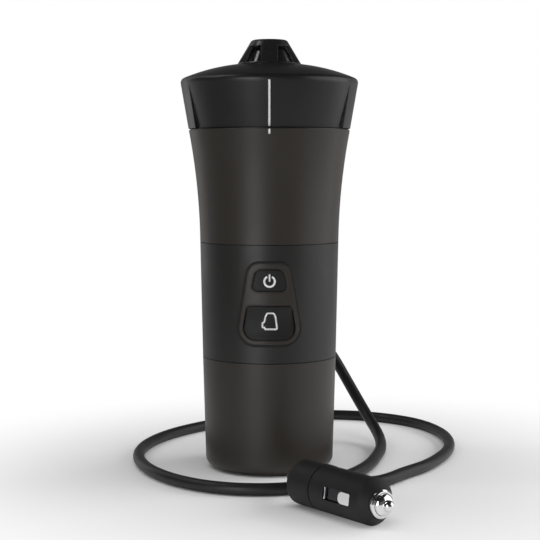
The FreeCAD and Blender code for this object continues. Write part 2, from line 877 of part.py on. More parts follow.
POWER_MIDDLE = "(power_low + power_high) / 2"
BREW_MIDDLE = "(brew_low + brew_high) / 2"
switch_solids = []
for word, level in (("power", POWER_MIDDLE), ("brew", BREW_MIDDLE)):
    case = block(
        word + "_switch_case",
        ("switch_width", "switch_height - screw_gap", "switch_width"),
        ("0 - switch_width / 2", "0 - " + BOARD_FRONT + " - switch_height", level + " - switch_width / 2"),
    )
    plunger = rod(
        word + "_switch_plunger",
        "plunger_radius",
        "plunger_height + plunger_root",
        ("0", "plunger_root - " + BOARD_FRONT + " - switch_height", level),
        AHEAD,
    )
    switch_solids.append(joined(word + "_switch", [case, plunger]))
group("tact_switches", switch_solids)

SCREW_SEAT = "0 - " + BOARD_FRONT + " - screw_gap"
board_screws = []
for side in (-1, 1):
    for row, level in enumerate(BOARD_ROWS):
        name = "board_screw_%d_%d" % (side + 1, row)
        head = rod(
            name + "_head",
            "small_screw_head",
            "small_head_thick",
            ("%d * post_offset" % side, SCREW_SEAT, level),
            AHEAD,
        )
        shank = rod(
            name + "_shank",
            "small_screw_shank",
            "board_thick + board_screw_bite",
            ("%d * post_offset" % side, SCREW_SEAT + " + board_thick + board_screw_bite", level),
            AHEAD,
        )
        board_screws.append(joined(name, [head, shank]))
group("board_screws", board_screws)

# Middle sleeve with the window for the buttons
middle_sleeve = turned("middle_sleeve", [
    ("lower_seam_radius", "lower_seam + seam_gap"),
    ("upper_seam_radius", "upper_seam - seam_gap"),
    ("upper_seam_radius - shell_wall + lap_wall + fit_gap", "upper_seam - seam_gap"),
    ("upper_seam_radius - shell_wall + lap_wall + fit_gap", "upper_seam - lap_height - seam_gap"),
    ("upper_seam_radius - sleeve_wall", "upper_seam - lap_height - seam_gap"),
    ("lower_seam_radius - sleeve_wall", "lower_seam + lap_height + seam_gap"),
    ("lower_seam_radius - shell_wall + lap_wall + fit_gap", "lower_seam + lap_height + seam_gap"),
    ("lower_seam_radius - shell_wall + lap_wall + fit_gap", "lower_seam + seam_gap"),
])


def keystone(sketch, word, grow="0"):
    """The rounded outline, wider below than above, of the panel or of a button, grown by a margin."""
    low_half = "%s_low_half + (%s)" % (word, grow)
    high_half = "%s_high_half + (%s)" % (word, grow)
    low = "%s_low - (%s)" % (word, grow)
    high = "%s_high + (%s)" % (word, grow)
    rounded(sketch, [
        ("0 - (%s)" % low_half, low, "%s_low_corner + (%s)" % (word, grow)),
        (low_half, low, "%s_low_corner + (%s)" % (word, grow)),
        (high_half, high, "%s_high_corner + (%s)" % (word, grow)),
        ("0 - (%s)" % high_half, high, "%s_high_corner + (%s)" % (word, grow)),
    ])


CUT_LOW = "panel_low - panel_rim - over"
CUT_HIGH = "panel_high + panel_rim + over"
PAD_REACH = "upper_seam_radius + over * 2"
OUTSIDE = "upper_seam_radius + trim_reach"


def trim_outside(body, offset, name):
    """Turns the front of a piece down to the sleeve's own taper, moved by an offset."""
    turned_cut(body, [
        (wall_at(CUT_LOW) + " + (%s)" % offset, CUT_LOW),
        (OUTSIDE, CUT_LOW),
        (OUTSIDE, CUT_HIGH),
        (wall_at(CUT_HIGH) + " + (%s)" % offset, CUT_HIGH),
    ], name)


def trim_inside(body, offset, name):
    turned_cut(body, [
        ("0", CUT_LOW),
        (wall_at(CUT_LOW) + " + (%s)" % offset, CUT_LOW),
        (wall_at(CUT_HIGH) + " + (%s)" % offset, CUT_HIGH),
        ("0", CUT_HIGH),
    ], name)


window = new_sketch(middle_sleeve, "XZ_Plane", "panel_window_outline")
keystone(window, "panel")
pocketed(middle_sleeve, window, "panel_window", OUTSIDE, reverse=True)
port = new_sketch(middle_sleeve, "XZ_Plane", "gland_port_round")
ring_hole(port, "0", "gland_height", "gland_neck + fit_gap")
pocketed(middle_sleeve, port, "gland_port", OUTSIDE)
keep(middle_sleeve)

# Button panel
button_panel = new_body("button_panel")
outline = new_sketch(button_panel, "XZ_Plane", "panel_rim_outline")
keystone(outline, "panel", "panel_rim")
padded(button_panel, outline, "panel_rim_pad", PAD_REACH)
trim_outside(button_panel, "0 - sleeve_wall - fit_gap", "panel_rim_front")
outline = new_sketch(button_panel, "XZ_Plane", "panel_face_outline")
keystone(outline, "panel", "0 - fit_gap")
padded(button_panel, outline, "panel_face_pad", PAD_REACH)
trim_outside(button_panel, "panel_proud", "panel_front")
trim_inside(button_panel, "0 - sleeve_wall - fit_gap - rim_thick", "panel_back")
for word in ("power", "brew"):
    hole = new_sketch(button_panel, "XZ_Plane", word + "_hole_outline")
    keystone(hole, word)
    pocketed(button_panel, hole, word + "_hole", OUTSIDE, reverse=True)
keep(button_panel)


STEM_START = BOARD_FRONT + " + switch_height + plunger_height + button_travel + fit_gap"


def button(word, middle):
    """A cap behind the panel's opening, with a flange that holds it in and a stem to its switch."""
    cap = new_body(word + "_button")
    flange = new_sketch(cap, "XZ_Plane", word + "_flange_outline")
    keystone(flange, word, "button_flange")
    padded(cap, flange, word + "_flange_pad", PAD_REACH)
    flange_front = "0 - sleeve_wall - fit_gap - rim_thick - button_gap"
    trim_outside(cap, flange_front, word + "_flange_front")
    face = new_sketch(cap, "XZ_Plane", word + "_face_outline")
    keystone(face, word, "0 - button_gap")
    padded(cap, face, word + "_face_pad", PAD_REACH)
    trim_outside(cap, "panel_proud + button_proud", word + "_front")
    trim_inside(cap, flange_front + " - rim_thick", word + "_back")
    stem = new_sketch(cap, "XZ_Plane", word + "_stem_round")
    lift(stem, STEM_START)
    ring_hole(stem, "0", middle, "stem_radius")
    padded(cap, stem, word + "_stem", wall_at(middle) + " - sleeve_wall - (%s)" % STEM_START)
    return cap


keep(button("power", POWER_MIDDLE))
brew_button = button("brew", BREW_MIDDLE)
DISH_LOW = "brew_low + dish_margin"
DISH_HIGH = "brew_high - dish_margin"
FACE = "panel_proud + button_proud"
turned_cut(brew_button, [
    (wall_at(DISH_LOW) + " + " + FACE, DISH_LOW, "dish_bend"),
    (OUTSIDE, DISH_LOW),
    (OUTSIDE, DISH_HIGH),
    (wall_at(DISH_HIGH) + " + " + FACE, DISH_HIGH),
], "brew_dish")
keep(brew_button)

# Cord gland, retained by a nut inside the sleeve
TAPER_LOW = GLAND_SEAT + " + gland_flange_thick"


def taper(along):
    return "gland_root - (%s) * (gland_root - gland_tip) / (gland_end - (%s))" % (along, TAPER_LOW)


gland_outline = [
    ("0", GLAND_START),
    ("gland_neck", GLAND_START),
    ("gland_neck", GLAND_SEAT),
    ("gland_flange", GLAND_SEAT),
    ("gland_flange", TAPER_LOW),
    ("gland_root", TAPER_LOW),
]
for ring in (1, 2, 3):
    low = "%d * gland_pitch" % ring
    high = "%d * gland_pitch + gland_slot" % ring
    for along, depth in ((low, "0"), (low, "gland_groove"), (high, "gland_groove"), (high, "0")):
        gland_outline.append((taper(along) + " - " + depth, TAPER_LOW + " + " + along))
gland_outline += [("gland_tip", "gland_end"), ("0", "gland_end")]
gland = turned("strain_relief", gland_outline, "XY_Plane")
tie(gland, "Placement.Base.z", "gland_height")
keep(gland)
NUT_START = GLAND_START + " + gland_nut_inset"
gland_nut = turned("gland_nut", [
    ("gland_neck + screw_gap", NUT_START),
    ("gland_nut_radius", NUT_START),
    ("gland_nut_radius", NUT_START + " + gland_nut_thick"),
    ("gland_neck + screw_gap", NUT_START + " + gland_nut_thick"),
], "XY_Plane")
tie(gland_nut, "Placement.Base.z", "gland_height")
keep(gland_nut)

# Upper shell, flaring to the collar under the lid
keep(turned("upper_shell", [
    ("upper_seam_radius", "upper_seam"),
    ("collar_radius", "collar_top", "-flare_bend"),
    ("collar_radius - collar_step", "collar_top"),
    ("collar_radius - collar_step", "collar_top + collar_rise"),
    ("collar_radius - shell_wall", "collar_top + collar_rise"),
    ("collar_radius - shell_wall", "collar_top"),
    ("upper_seam_radius - shell_wall", "upper_seam", "flare_bend"),
    ("upper_seam_radius - shell_wall", "upper_seam - lap_height"),
    ("upper_seam_radius - shell_wall + lap_wall", "upper_seam - lap_height"),
    ("upper_seam_radius - shell_wall + lap_wall", "upper_seam"),
]))

# Water tank with its heater, valves and cut-outs
TANK_SEAT = "collar_top + neck_rise - pad_well"
TANK_RIM = TANK_SEAT + " + gasket_thick"
NECK_BORE = "neck_radius - neck_wall"
TANK_FLANGE = NECK_BORE + " - flange_gap"
boiler_tank = turned("boiler_tank", [
    ("0", "tank_bottom"),
    (TANK_OUTER + " - tank_corner", "tank_bottom"),
    (TANK_OUTER, "tank_bottom + tank_corner", "tank_corner"),
    (TANK_OUTER, TANK_RIM),
    (TANK_FLANGE, TANK_RIM),
    (TANK_FLANGE, TANK_RIM + " + tank_wall"),
    ("tank_inner", TANK_RIM + " + tank_wall"),
    ("tank_inner", "tank_bottom + tank_corner"),
    (TANK_OUTER + " - tank_corner", "tank_bottom + tank_wall", "-(tank_corner - tank_wall)"),
    ("0", "tank_bottom + tank_wall"),
])
ports = new_sketch(boiler_tank, "XY_Plane", "tank_port_rounds")
for side in ("", "0 - "):
    ring_hole(ports, side + "valve_offset", "valve_lift", "nipple_radius")
pocketed(boiler_tank, ports, "tank_ports", "tank_bottom + tank_wall + over", reverse=True)
keep(boiler_tank)

keep(turned("tank_gasket", [
    (TANK_OUTER + " + gasket_inset", TANK_SEAT),
    (TANK_FLANGE, TANK_SEAT),
    (TANK_FLANGE, TANK_RIM),
    (TANK_OUTER + " + gasket_inset", TANK_RIM),
]))

HEATER_INNER = "tank_inner + tank_wall + heater_gap"
HEATER_OUTER = HEATER_INNER + " + heater_thick"
HEATER_HEIGHT = "heater_high - heater_low"
EAR_LOW = "(heater_low + heater_high - ear_height) / 2"
heater_solids = [rod("heater_outside", HEATER_OUTER, HEATER_HEIGHT, ("0", "0", "heater_low"))]
for side, place in (("left", "0 - heater_slit / 2 - ear_width"), ("right", "heater_slit / 2")):
    heater_solids.append(block(
        "heater_ear_" + side,
        ("ear_width", "ear_reach + heater_thick", "ear_height"),
        (place, HEATER_OUTER + " - heater_thick", EAR_LOW),
    ))
keep(less("heater_band", joined("heater_solid", heater_solids), [
    rod("heater_inside", HEATER_INNER, HEATER_HEIGHT, ("0", "0", "heater_low")),
    block(
        "heater_slot",
        ("heater_slit", "heater_thick + ear_reach + over * 2", HEATER_HEIGHT),
        ("0 - heater_slit / 2", HEATER_INNER + " - over", "heater_low"),
    ),
    rod(
        "heater_ear_hole",
        "small_screw_shank + screw_gap",
        "heater_slit + ear_width * 2 + over * 2",
        (
            "0 - heater_slit / 2 - ear_width - over",
            HEATER_OUTER + " + ear_reach / 2",
            EAR_LOW + " + ear_height / 2",
        ),
        (FreeCAD.Vector(0, 1, 0), 90),
    ),
]))
EAR_SIDE = "heater_slit / 2 + ear_width"
clamp_place = (HEATER_OUTER + " + ear_reach / 2", EAR_LOW + " + ear_height / 2")
keep(joined("heater_screw", [
    rod(
        "heater_screw_head",
        "ear_reach / 2 - screw_gap",
        "screw_head_thick",
        (EAR_SIDE, *clamp_place),
        (FreeCAD.Vector(0, 1, 0), 90),
    ),
    rod(
        "heater_screw_shank",
        "small_screw_shank",
        "(%s) * 2 + screw_head_thick" % EAR_SIDE,
        ("0 - (%s) - screw_head_thick" % EAR_SIDE, *clamp_place),
        (FreeCAD.Vector(0, 1, 0), 90),
    ),
]))

VALVE_LOW = "tank_bottom - valve_height"
NIPPLE_LOW = VALVE_LOW + " - nipple_height + nipple_root"
keep(joined("check_valve", [
    rod("check_valve_case", "check_valve_radius", "valve_height - screw_gap", (*VALVE_PLACE, VALVE_LOW)),
    rod("check_valve_nipple", "nipple_radius", "nipple_height", (*VALVE_PLACE, NIPPLE_LOW)),
]))
keep(joined("safety_valve", [
    rod(
        "safety_valve_case",
        "safety_valve_radius",
        "valve_height - screw_gap",
        ("0 - valve_offset", "valve_lift", VALVE_LOW),
    ),
    rod(
        "safety_valve_cap",
        "safety_cap_radius",
        "valve_height",
        ("0 - valve_offset", "valve_lift", VALVE_LOW + " - valve_height / 2"),
    ),
]))
TUBE_LOW = COVER_TOP + " + tube_seat"
TUBE_LENGTH = VALVE_LOW + " - tube_gap - (%s)" % TUBE_LOW
keep(less("air_tube", rod("air_tube_outside", "tube_radius", TUBE_LENGTH, (*VALVE_PLACE, TUBE_LOW)), [
    rod("air_tube_bore", "nipple_radius + screw_gap", TUBE_LENGTH, (*VALVE_PLACE, TUBE_LOW)),
]))
keep(joined("thermostat", [
    rod(
        "thermostat_case",
        "thermostat_radius",
        "thermostat_height",
        ("0", "0 - thermostat_place", "tank_bottom - thermostat_height - screw_gap"),
    ),
    rod(
        "thermostat_foot",
        "thermostat_foot",
        "thermostat_height",
        ("0", "0 - thermostat_place", "tank_bottom - thermostat_height - thermostat_drop"),
    ),
]))
keep(rod(
    "thermal_link",
    "link_radius",
    "link_length",
    ("0 - link_length / 2", "link_place", "tank_bottom - link_radius - fit_gap"),
    (FreeCAD.Vector(0, 1, 0), 90),
))

# Neck ring that carries the tank and takes the lid's thread
NECK_TOP = "collar_top + neck_rise"
FLANGE_TOP = "collar_top - move_gap"
neck_ring = turned("neck_ring", [
    (TANK_OUTER + " + neck_gap", "neck_bottom"),
    (NECK_BORE + " - skirt_inset", "neck_bottom"),
    (NECK_BORE + " - skirt_inset", FLANGE_TOP + " - neck_flange_thick"),
    ("neck_radius + neck_flange_step", FLANGE_TOP + " - neck_flange_thick"),
    ("neck_radius + neck_flange_step", FLANGE_TOP),
    ("neck_radius", FLANGE_TOP),
    ("neck_radius", NECK_TOP),
    (NECK_BORE, NECK_TOP),
    (NECK_BORE, TANK_SEAT),
    (TANK_OUTER + " + neck_gap", TANK_SEAT),
])
holes = new_sketch(neck_ring, "XY_Plane", "tie_hole_rounds")
for angle in TIE_ANGLES:
    ring_hole(holes, *on_circle(TIE_CIRCLE, angle), "tie_radius + screw_gap")
pocketed(neck_ring, holes, "tie_holes", "frame_high_top - frame_plate + tie_length + hole_over", reverse=True)
keep(neck_ring)
group("tie_screws", [
    screw(
        "tie_screw_%d" % angle,
        (*on_circle(TIE_CIRCLE, angle), "frame_high_top - frame_plate"),
        ("small_screw_head", "tie_head", "tie_radius", "tie_length"),
        down=False,
    )
    for angle in TIE_ANGLES
])


def sieve(body, name, rings, pitch, hole, low, high):
    """Round holes in rings of six, twelve and so on, about one in the middle."""
    sketch = new_sketch(body, "XY_Plane", name + "_rounds")
    lift(sketch, low + " - over")
    ring_hole(sketch, "0", "0", hole)
    for ring in range(1, rings + 1):
        for step in range(6 * ring):
            angle = (step + 0.5) * 60 / ring
            ring_hole(sketch, *on_circle("%s * %d" % (pitch, ring), angle), hole)
    pocketed(body, sketch, name, "(%s) - (%s) + over * 2" % (high, low), reverse=True)


# Pad holder hanging in the tank's mouth
CUP = "tank_inner - cup_gap"
HOLDER_FLANGE = NECK_BORE + " - holder_gap"
HOLDER_LOW = TANK_RIM + " + tank_wall + move_gap"
HOLDER_TOP = HOLDER_LOW + " + holder_flange_thick"
CUP_LOW = HOLDER_LOW + " - holder_cup_depth"
pod_holder = turned("pod_holder", [
    ("0", CUP_LOW),
    (CUP + " - tank_corner", CUP_LOW),
    (CUP, CUP_LOW + " + tank_corner", "tank_corner"),
    (CUP, HOLDER_LOW),
    (HOLDER_FLANGE, HOLDER_LOW),
    (HOLDER_FLANGE, HOLDER_TOP),
    (CUP + " - holder_wall", HOLDER_TOP),
    (CUP + " - holder_wall", CUP_LOW + " + tank_corner"),
    (CUP + " - tank_corner", CUP_LOW + " + holder_wall", "-(tank_corner - holder_wall)"),
    ("0", CUP_LOW + " + holder_wall"),
])
sieve(pod_holder, "holder_holes", 2, "hole_pitch", "holder_hole", CUP_LOW, CUP_LOW + " + holder_wall")
keep(pod_holder)

# Lid with its seal, brew head and sieve
HEAD_LOW = NECK_TOP + " + move_gap"
HEAD_TOP = HEAD_LOW + " + head_height"
HEAD_ROOF = HEAD_LOW + " + head_cavity_depth"
HEAD_RADIUS = "neck_radius + head_reach"
SEAL_LOW = HOLDER_TOP + " + move_gap"
SEAL_TOP = NECK_TOP
SEAL_INNER = HOLDER_FLANGE + " - seal_width"
keep(turned("lid_seal", [
    (SEAL_INNER, SEAL_LOW),
    (HOLDER_FLANGE, SEAL_LOW),
    (HOLDER_FLANGE, SEAL_TOP),
    (SEAL_INNER, SEAL_TOP),
    (SEAL_INNER + " + seal_lip", "(%s + %s) / 2" % (SEAL_LOW, SEAL_TOP)),
]))

brew_head = turned("brew_head", [
    ("head_outlet", HEAD_ROOF),
    (HEAD_RADIUS + " - head_wall", HEAD_ROOF),
    (HEAD_RADIUS + " - head_wall", HEAD_LOW),
    (HEAD_RADIUS, HEAD_LOW),
    (HEAD_RADIUS, HEAD_TOP),
    ("head_outlet", HEAD_TOP),
])
SCREEN_LOW = HEAD_LOW + " + screen_drop"
SCREEN_TOP = SCREEN_LOW + " + screen_thick"
SCREEN_RADIUS = HEAD_RADIUS + " - head_wall - screen_gap"
bosses = new_sketch(brew_head, "XY_Plane", "screen_boss_rounds")
lift(bosses, SCREEN_TOP + " + screw_gap")
for angle in OTHER_THIRDS:
    ring_hole(bosses, *on_circle("screen_screw_circle", angle), "small_screw_head")
padded(brew_head, bosses, "screen_bosses", "screen_boss_height")
holes = new_sketch(brew_head, "XY_Plane", "head_hole_rounds")
for angle in QUARTERS:
    ring_hole(holes, *on_circle("lid_screw_circle", angle), "screw_shank + fit_gap")
pocketed(brew_head, holes, "head_holes", HEAD_TOP + " + over", reverse=True)
holes = new_sketch(brew_head, "XY_Plane", "screen_hole_rounds")
for angle in OTHER_THIRDS:
    ring_hole(holes, *on_circle("screen_screw_circle", angle), "small_screw_shank + screw_gap")
pocketed(brew_head, holes, "screen_holes", HEAD_TOP + " - hole_floor", reverse=True)
keep(brew_head)

shower_screen = turned("shower_screen", [
    ("0", SCREEN_LOW),
    (SCREEN_RADIUS, SCREEN_LOW),
    (SCREEN_RADIUS, SCREEN_TOP),
    ("0", SCREEN_TOP),
])
sieve(shower_screen, "screen_sieve", 2, "screen_pitch", "holder_hole", SCREEN_LOW, SCREEN_TOP)
holes = new_sketch(shower_screen, "XY_Plane", "screen_screw_rounds")
for angle in OTHER_THIRDS:
    ring_hole(holes, *on_circle("screen_screw_circle", angle), "small_screw_shank + fit_gap")
pocketed(shower_screen, holes, "screen_screw_holes", SCREEN_TOP + " + over", reverse=True)
keep(shower_screen)
group("screen_screws", [
    screw(
        "screen_screw_%d" % angle,
        (*on_circle("screen_screw_circle", angle), SCREEN_LOW + " - screw_gap"),
        ("small_screw_head", "small_head_thick", "small_screw_shank", "screen_screw_length"),
        down=False,
    )
    for angle in OTHER_THIRDS
])

LID_LOW = "collar_top + lid_gap"
SIDE_TOP = LID_LOW + " + lid_side_height"
SHOULDER = SIDE_TOP + " + shoulder_rise"
DOME_TOP = SHOULDER + " + dome_rise"
LID_BORE = "neck_radius + lid_bore_gap"
SIDE_SLOPE = "(lid_high_radius - lid_low_radius) / lid_side_height"
NOZZLE_HOLE = "nozzle_radius + fit_gap * 2"
lid_shell = turned("lid_shell", [
    (LID_BORE, LID_LOW),
    ("lid_low_radius", LID_LOW),
    ("lid_high_radius", SIDE_TOP),
    ("lid_high_radius - shoulder_step", SHOULDER, "shoulder_bend"),
    ("spout_base_radius", DOME_TOP, "dome_bend"),
    (NOZZLE_HOLE, DOME_TOP),
    (NOZZLE_HOLE, DOME_TOP + " - lid_wall"),
    ("spout_base_radius", DOME_TOP + " - lid_wall"),
    ("lid_high_radius - shoulder_step - lid_wall", SHOULDER + " - lid_wall"),
    ("lid_high_radius - lid_wall", SIDE_TOP + " - lid_wall"),
    ("lid_low_radius + thread_height * %s - lid_wall" % SIDE_SLOPE, LID_LOW + " + thread_height"),
    (LID_BORE, LID_LOW + " + thread_height"),
])
bosses = new_sketch(lid_shell, "XY_Plane", "lid_boss_rounds")
lift(bosses, HEAD_TOP + " + screw_gap")
for angle in QUARTERS:
    ring_hole(bosses, *on_circle("lid_screw_circle", angle), "lid_boss_radius")
padded(lid_shell, bosses, "lid_bosses", "(%s) - lid_wall - (%s)" % (DOME_TOP, HEAD_TOP))
holes = new_sketch(lid_shell, "XY_Plane", "lid_hole_rounds")
for angle in QUARTERS:
    ring_hole(holes, *on_circle("lid_screw_circle", angle), "screw_shank + screw_gap")
pocketed(lid_shell, holes, "lid_holes", HEAD_TOP + " + lid_screw_bite + hole_over", reverse=True)
hollow = new_sketch(lid_shell, "YZ_Plane", "grip_hollow_profile")
APEX = "lid_side_height - grip_margin"
draw(hollow, [
    ("lid_low_radius - grip_recess", LID_LOW),
    ("lid_low_radius + grip_recess", LID_LOW),
    ("lid_high_radius + grip_recess", LID_LOW + " + " + APEX),
    ("lid_low_radius + (%s) * %s" % (APEX, SIDE_SLOPE), LID_LOW + " + " + APEX),
])
before = lid_shell.Shape.Volume
groove = lid_shell.newObject("PartDesign::Groove", "grip_hollow")
groove.Profile = hollow
groove.ReferenceAxis = (hollow, ["V_Axis"])
groove.Midplane = True
tie(groove, "Angle", "180 - 2 * grip_half_angle")
doc.recompute()
around(lid_shell, groove, 2, "grip_hollows")
if lid_shell.Shape.Volume >= before:
    raise RuntimeError("the grip hollows remove nothing")
keep(lid_shell)
group("lid_screws", [
    screw(
        "lid_screw_%d" % angle,
        (*on_circle("lid_screw_circle", angle), HEAD_ROOF),
        (
            "screw_head",
            "screw_head_thick",
            "screw_shank",
            "(%s) - (%s) + lid_screw_bite" % (HEAD_TOP, HEAD_ROOF),
        ),
        down=False,
    )
    for angle in QUARTERS
])

# Spout: an open cage of four ribs round the nozzle
SPOUT_LOW = DOME_TOP
TOP = DOME_TOP + " + spout_height"
HEAD_UNDER = TOP + " - spout_head"
spout_cage = turned("spout_cage", [
    (NOZZLE_HOLE, SPOUT_LOW),
    ("spout_base_radius", SPOUT_LOW),
    ("spout_base_radius - spout_slope * (spout_height - spout_edge)", TOP + " - spout_edge"),
    ("spout_base_radius - spout_slope * spout_height - spout_edge", TOP, "spout_edge_bend"),
    ("spout_eye", TOP),
    ("spout_eye", HEAD_UNDER),
    ("spout_base_radius - spout_slope * (spout_height - spout_head) - spout_wall", HEAD_UNDER),
    ("spout_base_radius - spout_wall - spout_slope * spout_sill", SPOUT_LOW + " + spout_sill"),
    (NOZZLE_HOLE, SPOUT_LOW + " + spout_sill"),
])
gaps = new_sketch(spout_cage, "XY_Plane", "spout_window_outline")
lift(gaps, SPOUT_LOW + " + spout_sill")
HALF_RIB = "spout_rib / 2"
FAR = "spout_base_radius + over"
for across, up in (("", ""), ("0 - ", ""), ("0 - ", "0 - "), ("", "0 - ")):
    square = [(HALF_RIB, HALF_RIB), (FAR, HALF_RIB), (FAR, FAR), (HALF_RIB, FAR)]
    draw(gaps, [(across + here[0], up + here[1]) for here in square])
pocketed(spout_cage, gaps, "spout_windows", "spout_height - spout_head - spout_sill", reverse=True)
keep(spout_cage)

NOZZLE_SHOULDER = HEAD_UNDER + " - move_gap"
keep(turned("spout_nozzle", [
    ("nozzle_radius - nozzle_wall", HEAD_TOP + " + screw_gap"),
    ("nozzle_flange", HEAD_TOP + " + screw_gap"),
    ("nozzle_flange", HEAD_TOP + " + nozzle_flange_thick"),
    ("nozzle_radius", HEAD_TOP + " + nozzle_flange_thick"),
    ("nozzle_radius", DOME_TOP),
    ("nozzle_radius - nozzle_taper", NOZZLE_SHOULDER),
    ("nozzle_tip", NOZZLE_SHOULDER),
    ("nozzle_tip", TOP + " - spout_edge / 2"),
    ("nozzle_bore", TOP + " - spout_edge / 2"),
    ("nozzle_bore", NOZZLE_SHOULDER + " - nozzle_wall"),
    ("nozzle_radius - nozzle_wall", DOME_TOP + " - nozzle_wall"),
]))

# Plug, built along its own axis and then laid down
heading = FreeCAD.Rotation(FreeCAD.Vector(0, 0, 1), num("plug_heading"))
laid = FreeCAD.Rotation(FreeCAD.Vector(0, 1, 0), 90)
rolled = FreeCAD.Rotation(FreeCAD.Vector(0, 0, 1), -90 - num("plug_roll"))
plug_place = FreeCAD.Placement(
    FreeCAD.Vector(num("plug_x"), num("plug_y"), num("plug_radius + plug_lift")),
    heading.multiply(laid).multiply(rolled),
)


def on_plug(thing):
    thing.Placement = plug_place.multiply(thing.Placement)
    return keep(thing)


PLUG_BORE = "plug_radius - plug_wall"
plug_body = turned("plug_body", [
    (PLUG_BORE, "plug_seam"),
    ("plug_radius", "plug_seam"),
    ("plug_radius", "plug_nose"),
    ("plug_front_radius", "plug_front"),
    ("nut_neck + screw_gap", "plug_front"),
    ("nut_neck + screw_gap", "plug_nose"),
    (PLUG_BORE, "plug_nose"),
], start="plug_start")
slots = new_sketch(plug_body, "YZ_Plane", "plug_window_outline")
HALF_WINDOW = "window_width / 2"
draw(slots, [
    ("0 - " + HALF_WINDOW, "window_start"),
    (HALF_WINDOW, "window_start"),
    (HALF_WINDOW, "window_end"),
    ("0 - " + HALF_WINDOW, "window_end"),
])
before = plug_body.Shape.Volume
slot = plug_body.newObject("PartDesign::Pocket", "plug_windows")
slot.Profile = slots
slot.Midplane = True
tie(slot, "Length", "(plug_radius + over) * 2")
doc.recompute()
if plug_body.Shape.Volume >= before:
    raise RuntimeError("the plug's windows remove nothing")
on_plug(plug_body)

SPIGOT = "plug_radius - plug_wall - fit_gap"
CORD_HOLE = "cord_diameter / 2 + screw_gap"
on_plug(turned("plug_rear_cap", [
    (CORD_HOLE, "0 - plug_collar"),
    ("plug_collar_radius", "0 - plug_collar"),
    ("plug_collar_radius", "0"),
    ("plug_radius - plug_edge", "0"),
    ("plug_radius", "plug_edge", "plug_edge"),
    ("plug_radius", "plug_seam - seam_gap"),
    (SPIGOT, "plug_seam - seam_gap"),
    (SPIGOT, "plug_seam + plug_spigot"),
    (SPIGOT + " - spigot_wall", "plug_seam + plug_spigot"),
    (SPIGOT + " - spigot_wall", "plug_wall * 2"),
    (CORD_HOLE, "plug_wall"),
]))

carrier_round = rod("carrier_round", SPIGOT, "carrier_end - carrier_start", ("0", "0", "carrier_start"))
carrier_flat = block(
    "carrier_flat",
    ("carrier_half * 2", "carrier_width * 2", "carrier_end - carrier_start"),
    ("0 - carrier_half", "0 - carrier_width", "carrier_start"),
)
carrier_core = doc.addObject("Part::MultiCommon", "carrier_core")
carrier_core.Shapes = [carrier_round, carrier_flat]
carrier = less("contact_carrier", carrier_core, [
    rod("carrier_bore", "fuse_bore", "carrier_end - carrier_start", ("0", "0", "carrier_start")),
])
on_plug(carrier)
FUSE_LOW = "carrier_start + move_gap"
on_plug(joined("plug_fuse", [
    rod("fuse_glass", "fuse_radius - fuse_cap_wall", "fuse_length", ("0", "0", FUSE_LOW)),
    rod("fuse_cap_rear", "fuse_radius", "fuse_cap", ("0", "0", FUSE_LOW)),
    rod("fuse_cap_front", "fuse_radius", "fuse_cap", ("0", "0", FUSE_LOW + " + fuse_length - fuse_cap")),
]))


def side_contact(label, turn):
    """A block in a window, held by a plate behind it, with a pad at its front and a lip at its rear."""
    half = "window_width / 2 - contact_gap"
    low = "window_start + contact_gap"
    high = "window_end - contact_gap"
    plate = block(
        label + "_plate",
        ("contact_thick", "(%s) * 2" % half, "window_end - window_start + contact_tab * 2"),
        ("contact_base", "0 - (%s)" % half, "window_start - contact_tab"),
    )
    floor = block(
        label + "_floor",
        ("contact_floor - contact_base", "(%s) * 2" % half, "(%s) - (%s)" % (high, low)),
        ("contact_base", "0 - (%s)" % half, low),
    )
    lip = block(
        label + "_lip",
        ("plug_radius - contact_base - lip_inset", "(%s) * 2" % half, "contact_thick"),
        ("contact_base", "0 - (%s)" % half, low),
    )
    pad = new_body(label + "_pad")
    outline = new_sketch(pad, "YZ_Plane", label + "_pad_outline")
    lift(outline, "contact_base")
    rounded(outline, [
        ("0 - (%s)" % half, high + " - contact_pad", "pad_corner"),
        (half, high + " - contact_pad", "pad_corner"),
        (half, high, "contact_thick"),
        ("0 - (%s)" % half, high, "contact_thick"),
    ])
    padded(pad, outline, label + "_pad_raised", "plug_radius - contact_sunk - contact_base")
    contact = joined(label, [plate, floor, lip, pad])
    about = FreeCAD.Rotation(FreeCAD.Vector(0, 0, 1), turn)
    contact.Placement = FreeCAD.Placement(FreeCAD.Vector(0, 0, 0), about)
    return on_plug(contact)


side_contact("plug_contact_front", 0)
side_contact("plug_contact_back", 180)

on_plug(turned("plug_nut", [
    ("nut_bore", "plug_front - nut_neck_length"),
    ("nut_neck", "plug_front - nut_neck_length"),
    ("nut_neck", "plug_front + screw_gap"),
    ("nut_radius", "plug_front + screw_gap"),
    ("nut_radius", "plug_front + nut_thick - nut_edge"),
    ("nut_radius - nut_edge", "plug_front + nut_thick"),
    ("nut_bore", "plug_front + nut_thick"),
]))

FLANGE_FRONT = "plug_nose - move_gap"
TIP_EDGE = "plug_front + nut_thick + tip_step"
BALL_LOW = TIP_EDGE + " + tip_rise"
on_plug(turned("plug_tip", [
    ("0", FLANGE_FRONT + " - tip_flange_thick"),
    ("tip_flange", FLANGE_FRONT + " - tip_flange_thick"),
    ("tip_flange", FLANGE_FRONT),
    ("tip_radius", FLANGE_FRONT),
    ("tip_radius", TIP_EDGE),
    ("tip_ball", BALL_LOW, "tip_dome"),
    ("tip_ball", BALL_LOW + " + tip_collar"),
    ("0", BALL_LOW + " + tip_collar + tip_ball", "tip_ball"),
]))

SPRING_LOW = "carrier_start + move_gap + fuse_length + spring_wire + move_gap / 2"
SPRING_HIGH = FLANGE_FRONT + " - tip_flange_thick - spring_wire - move_gap / 2"


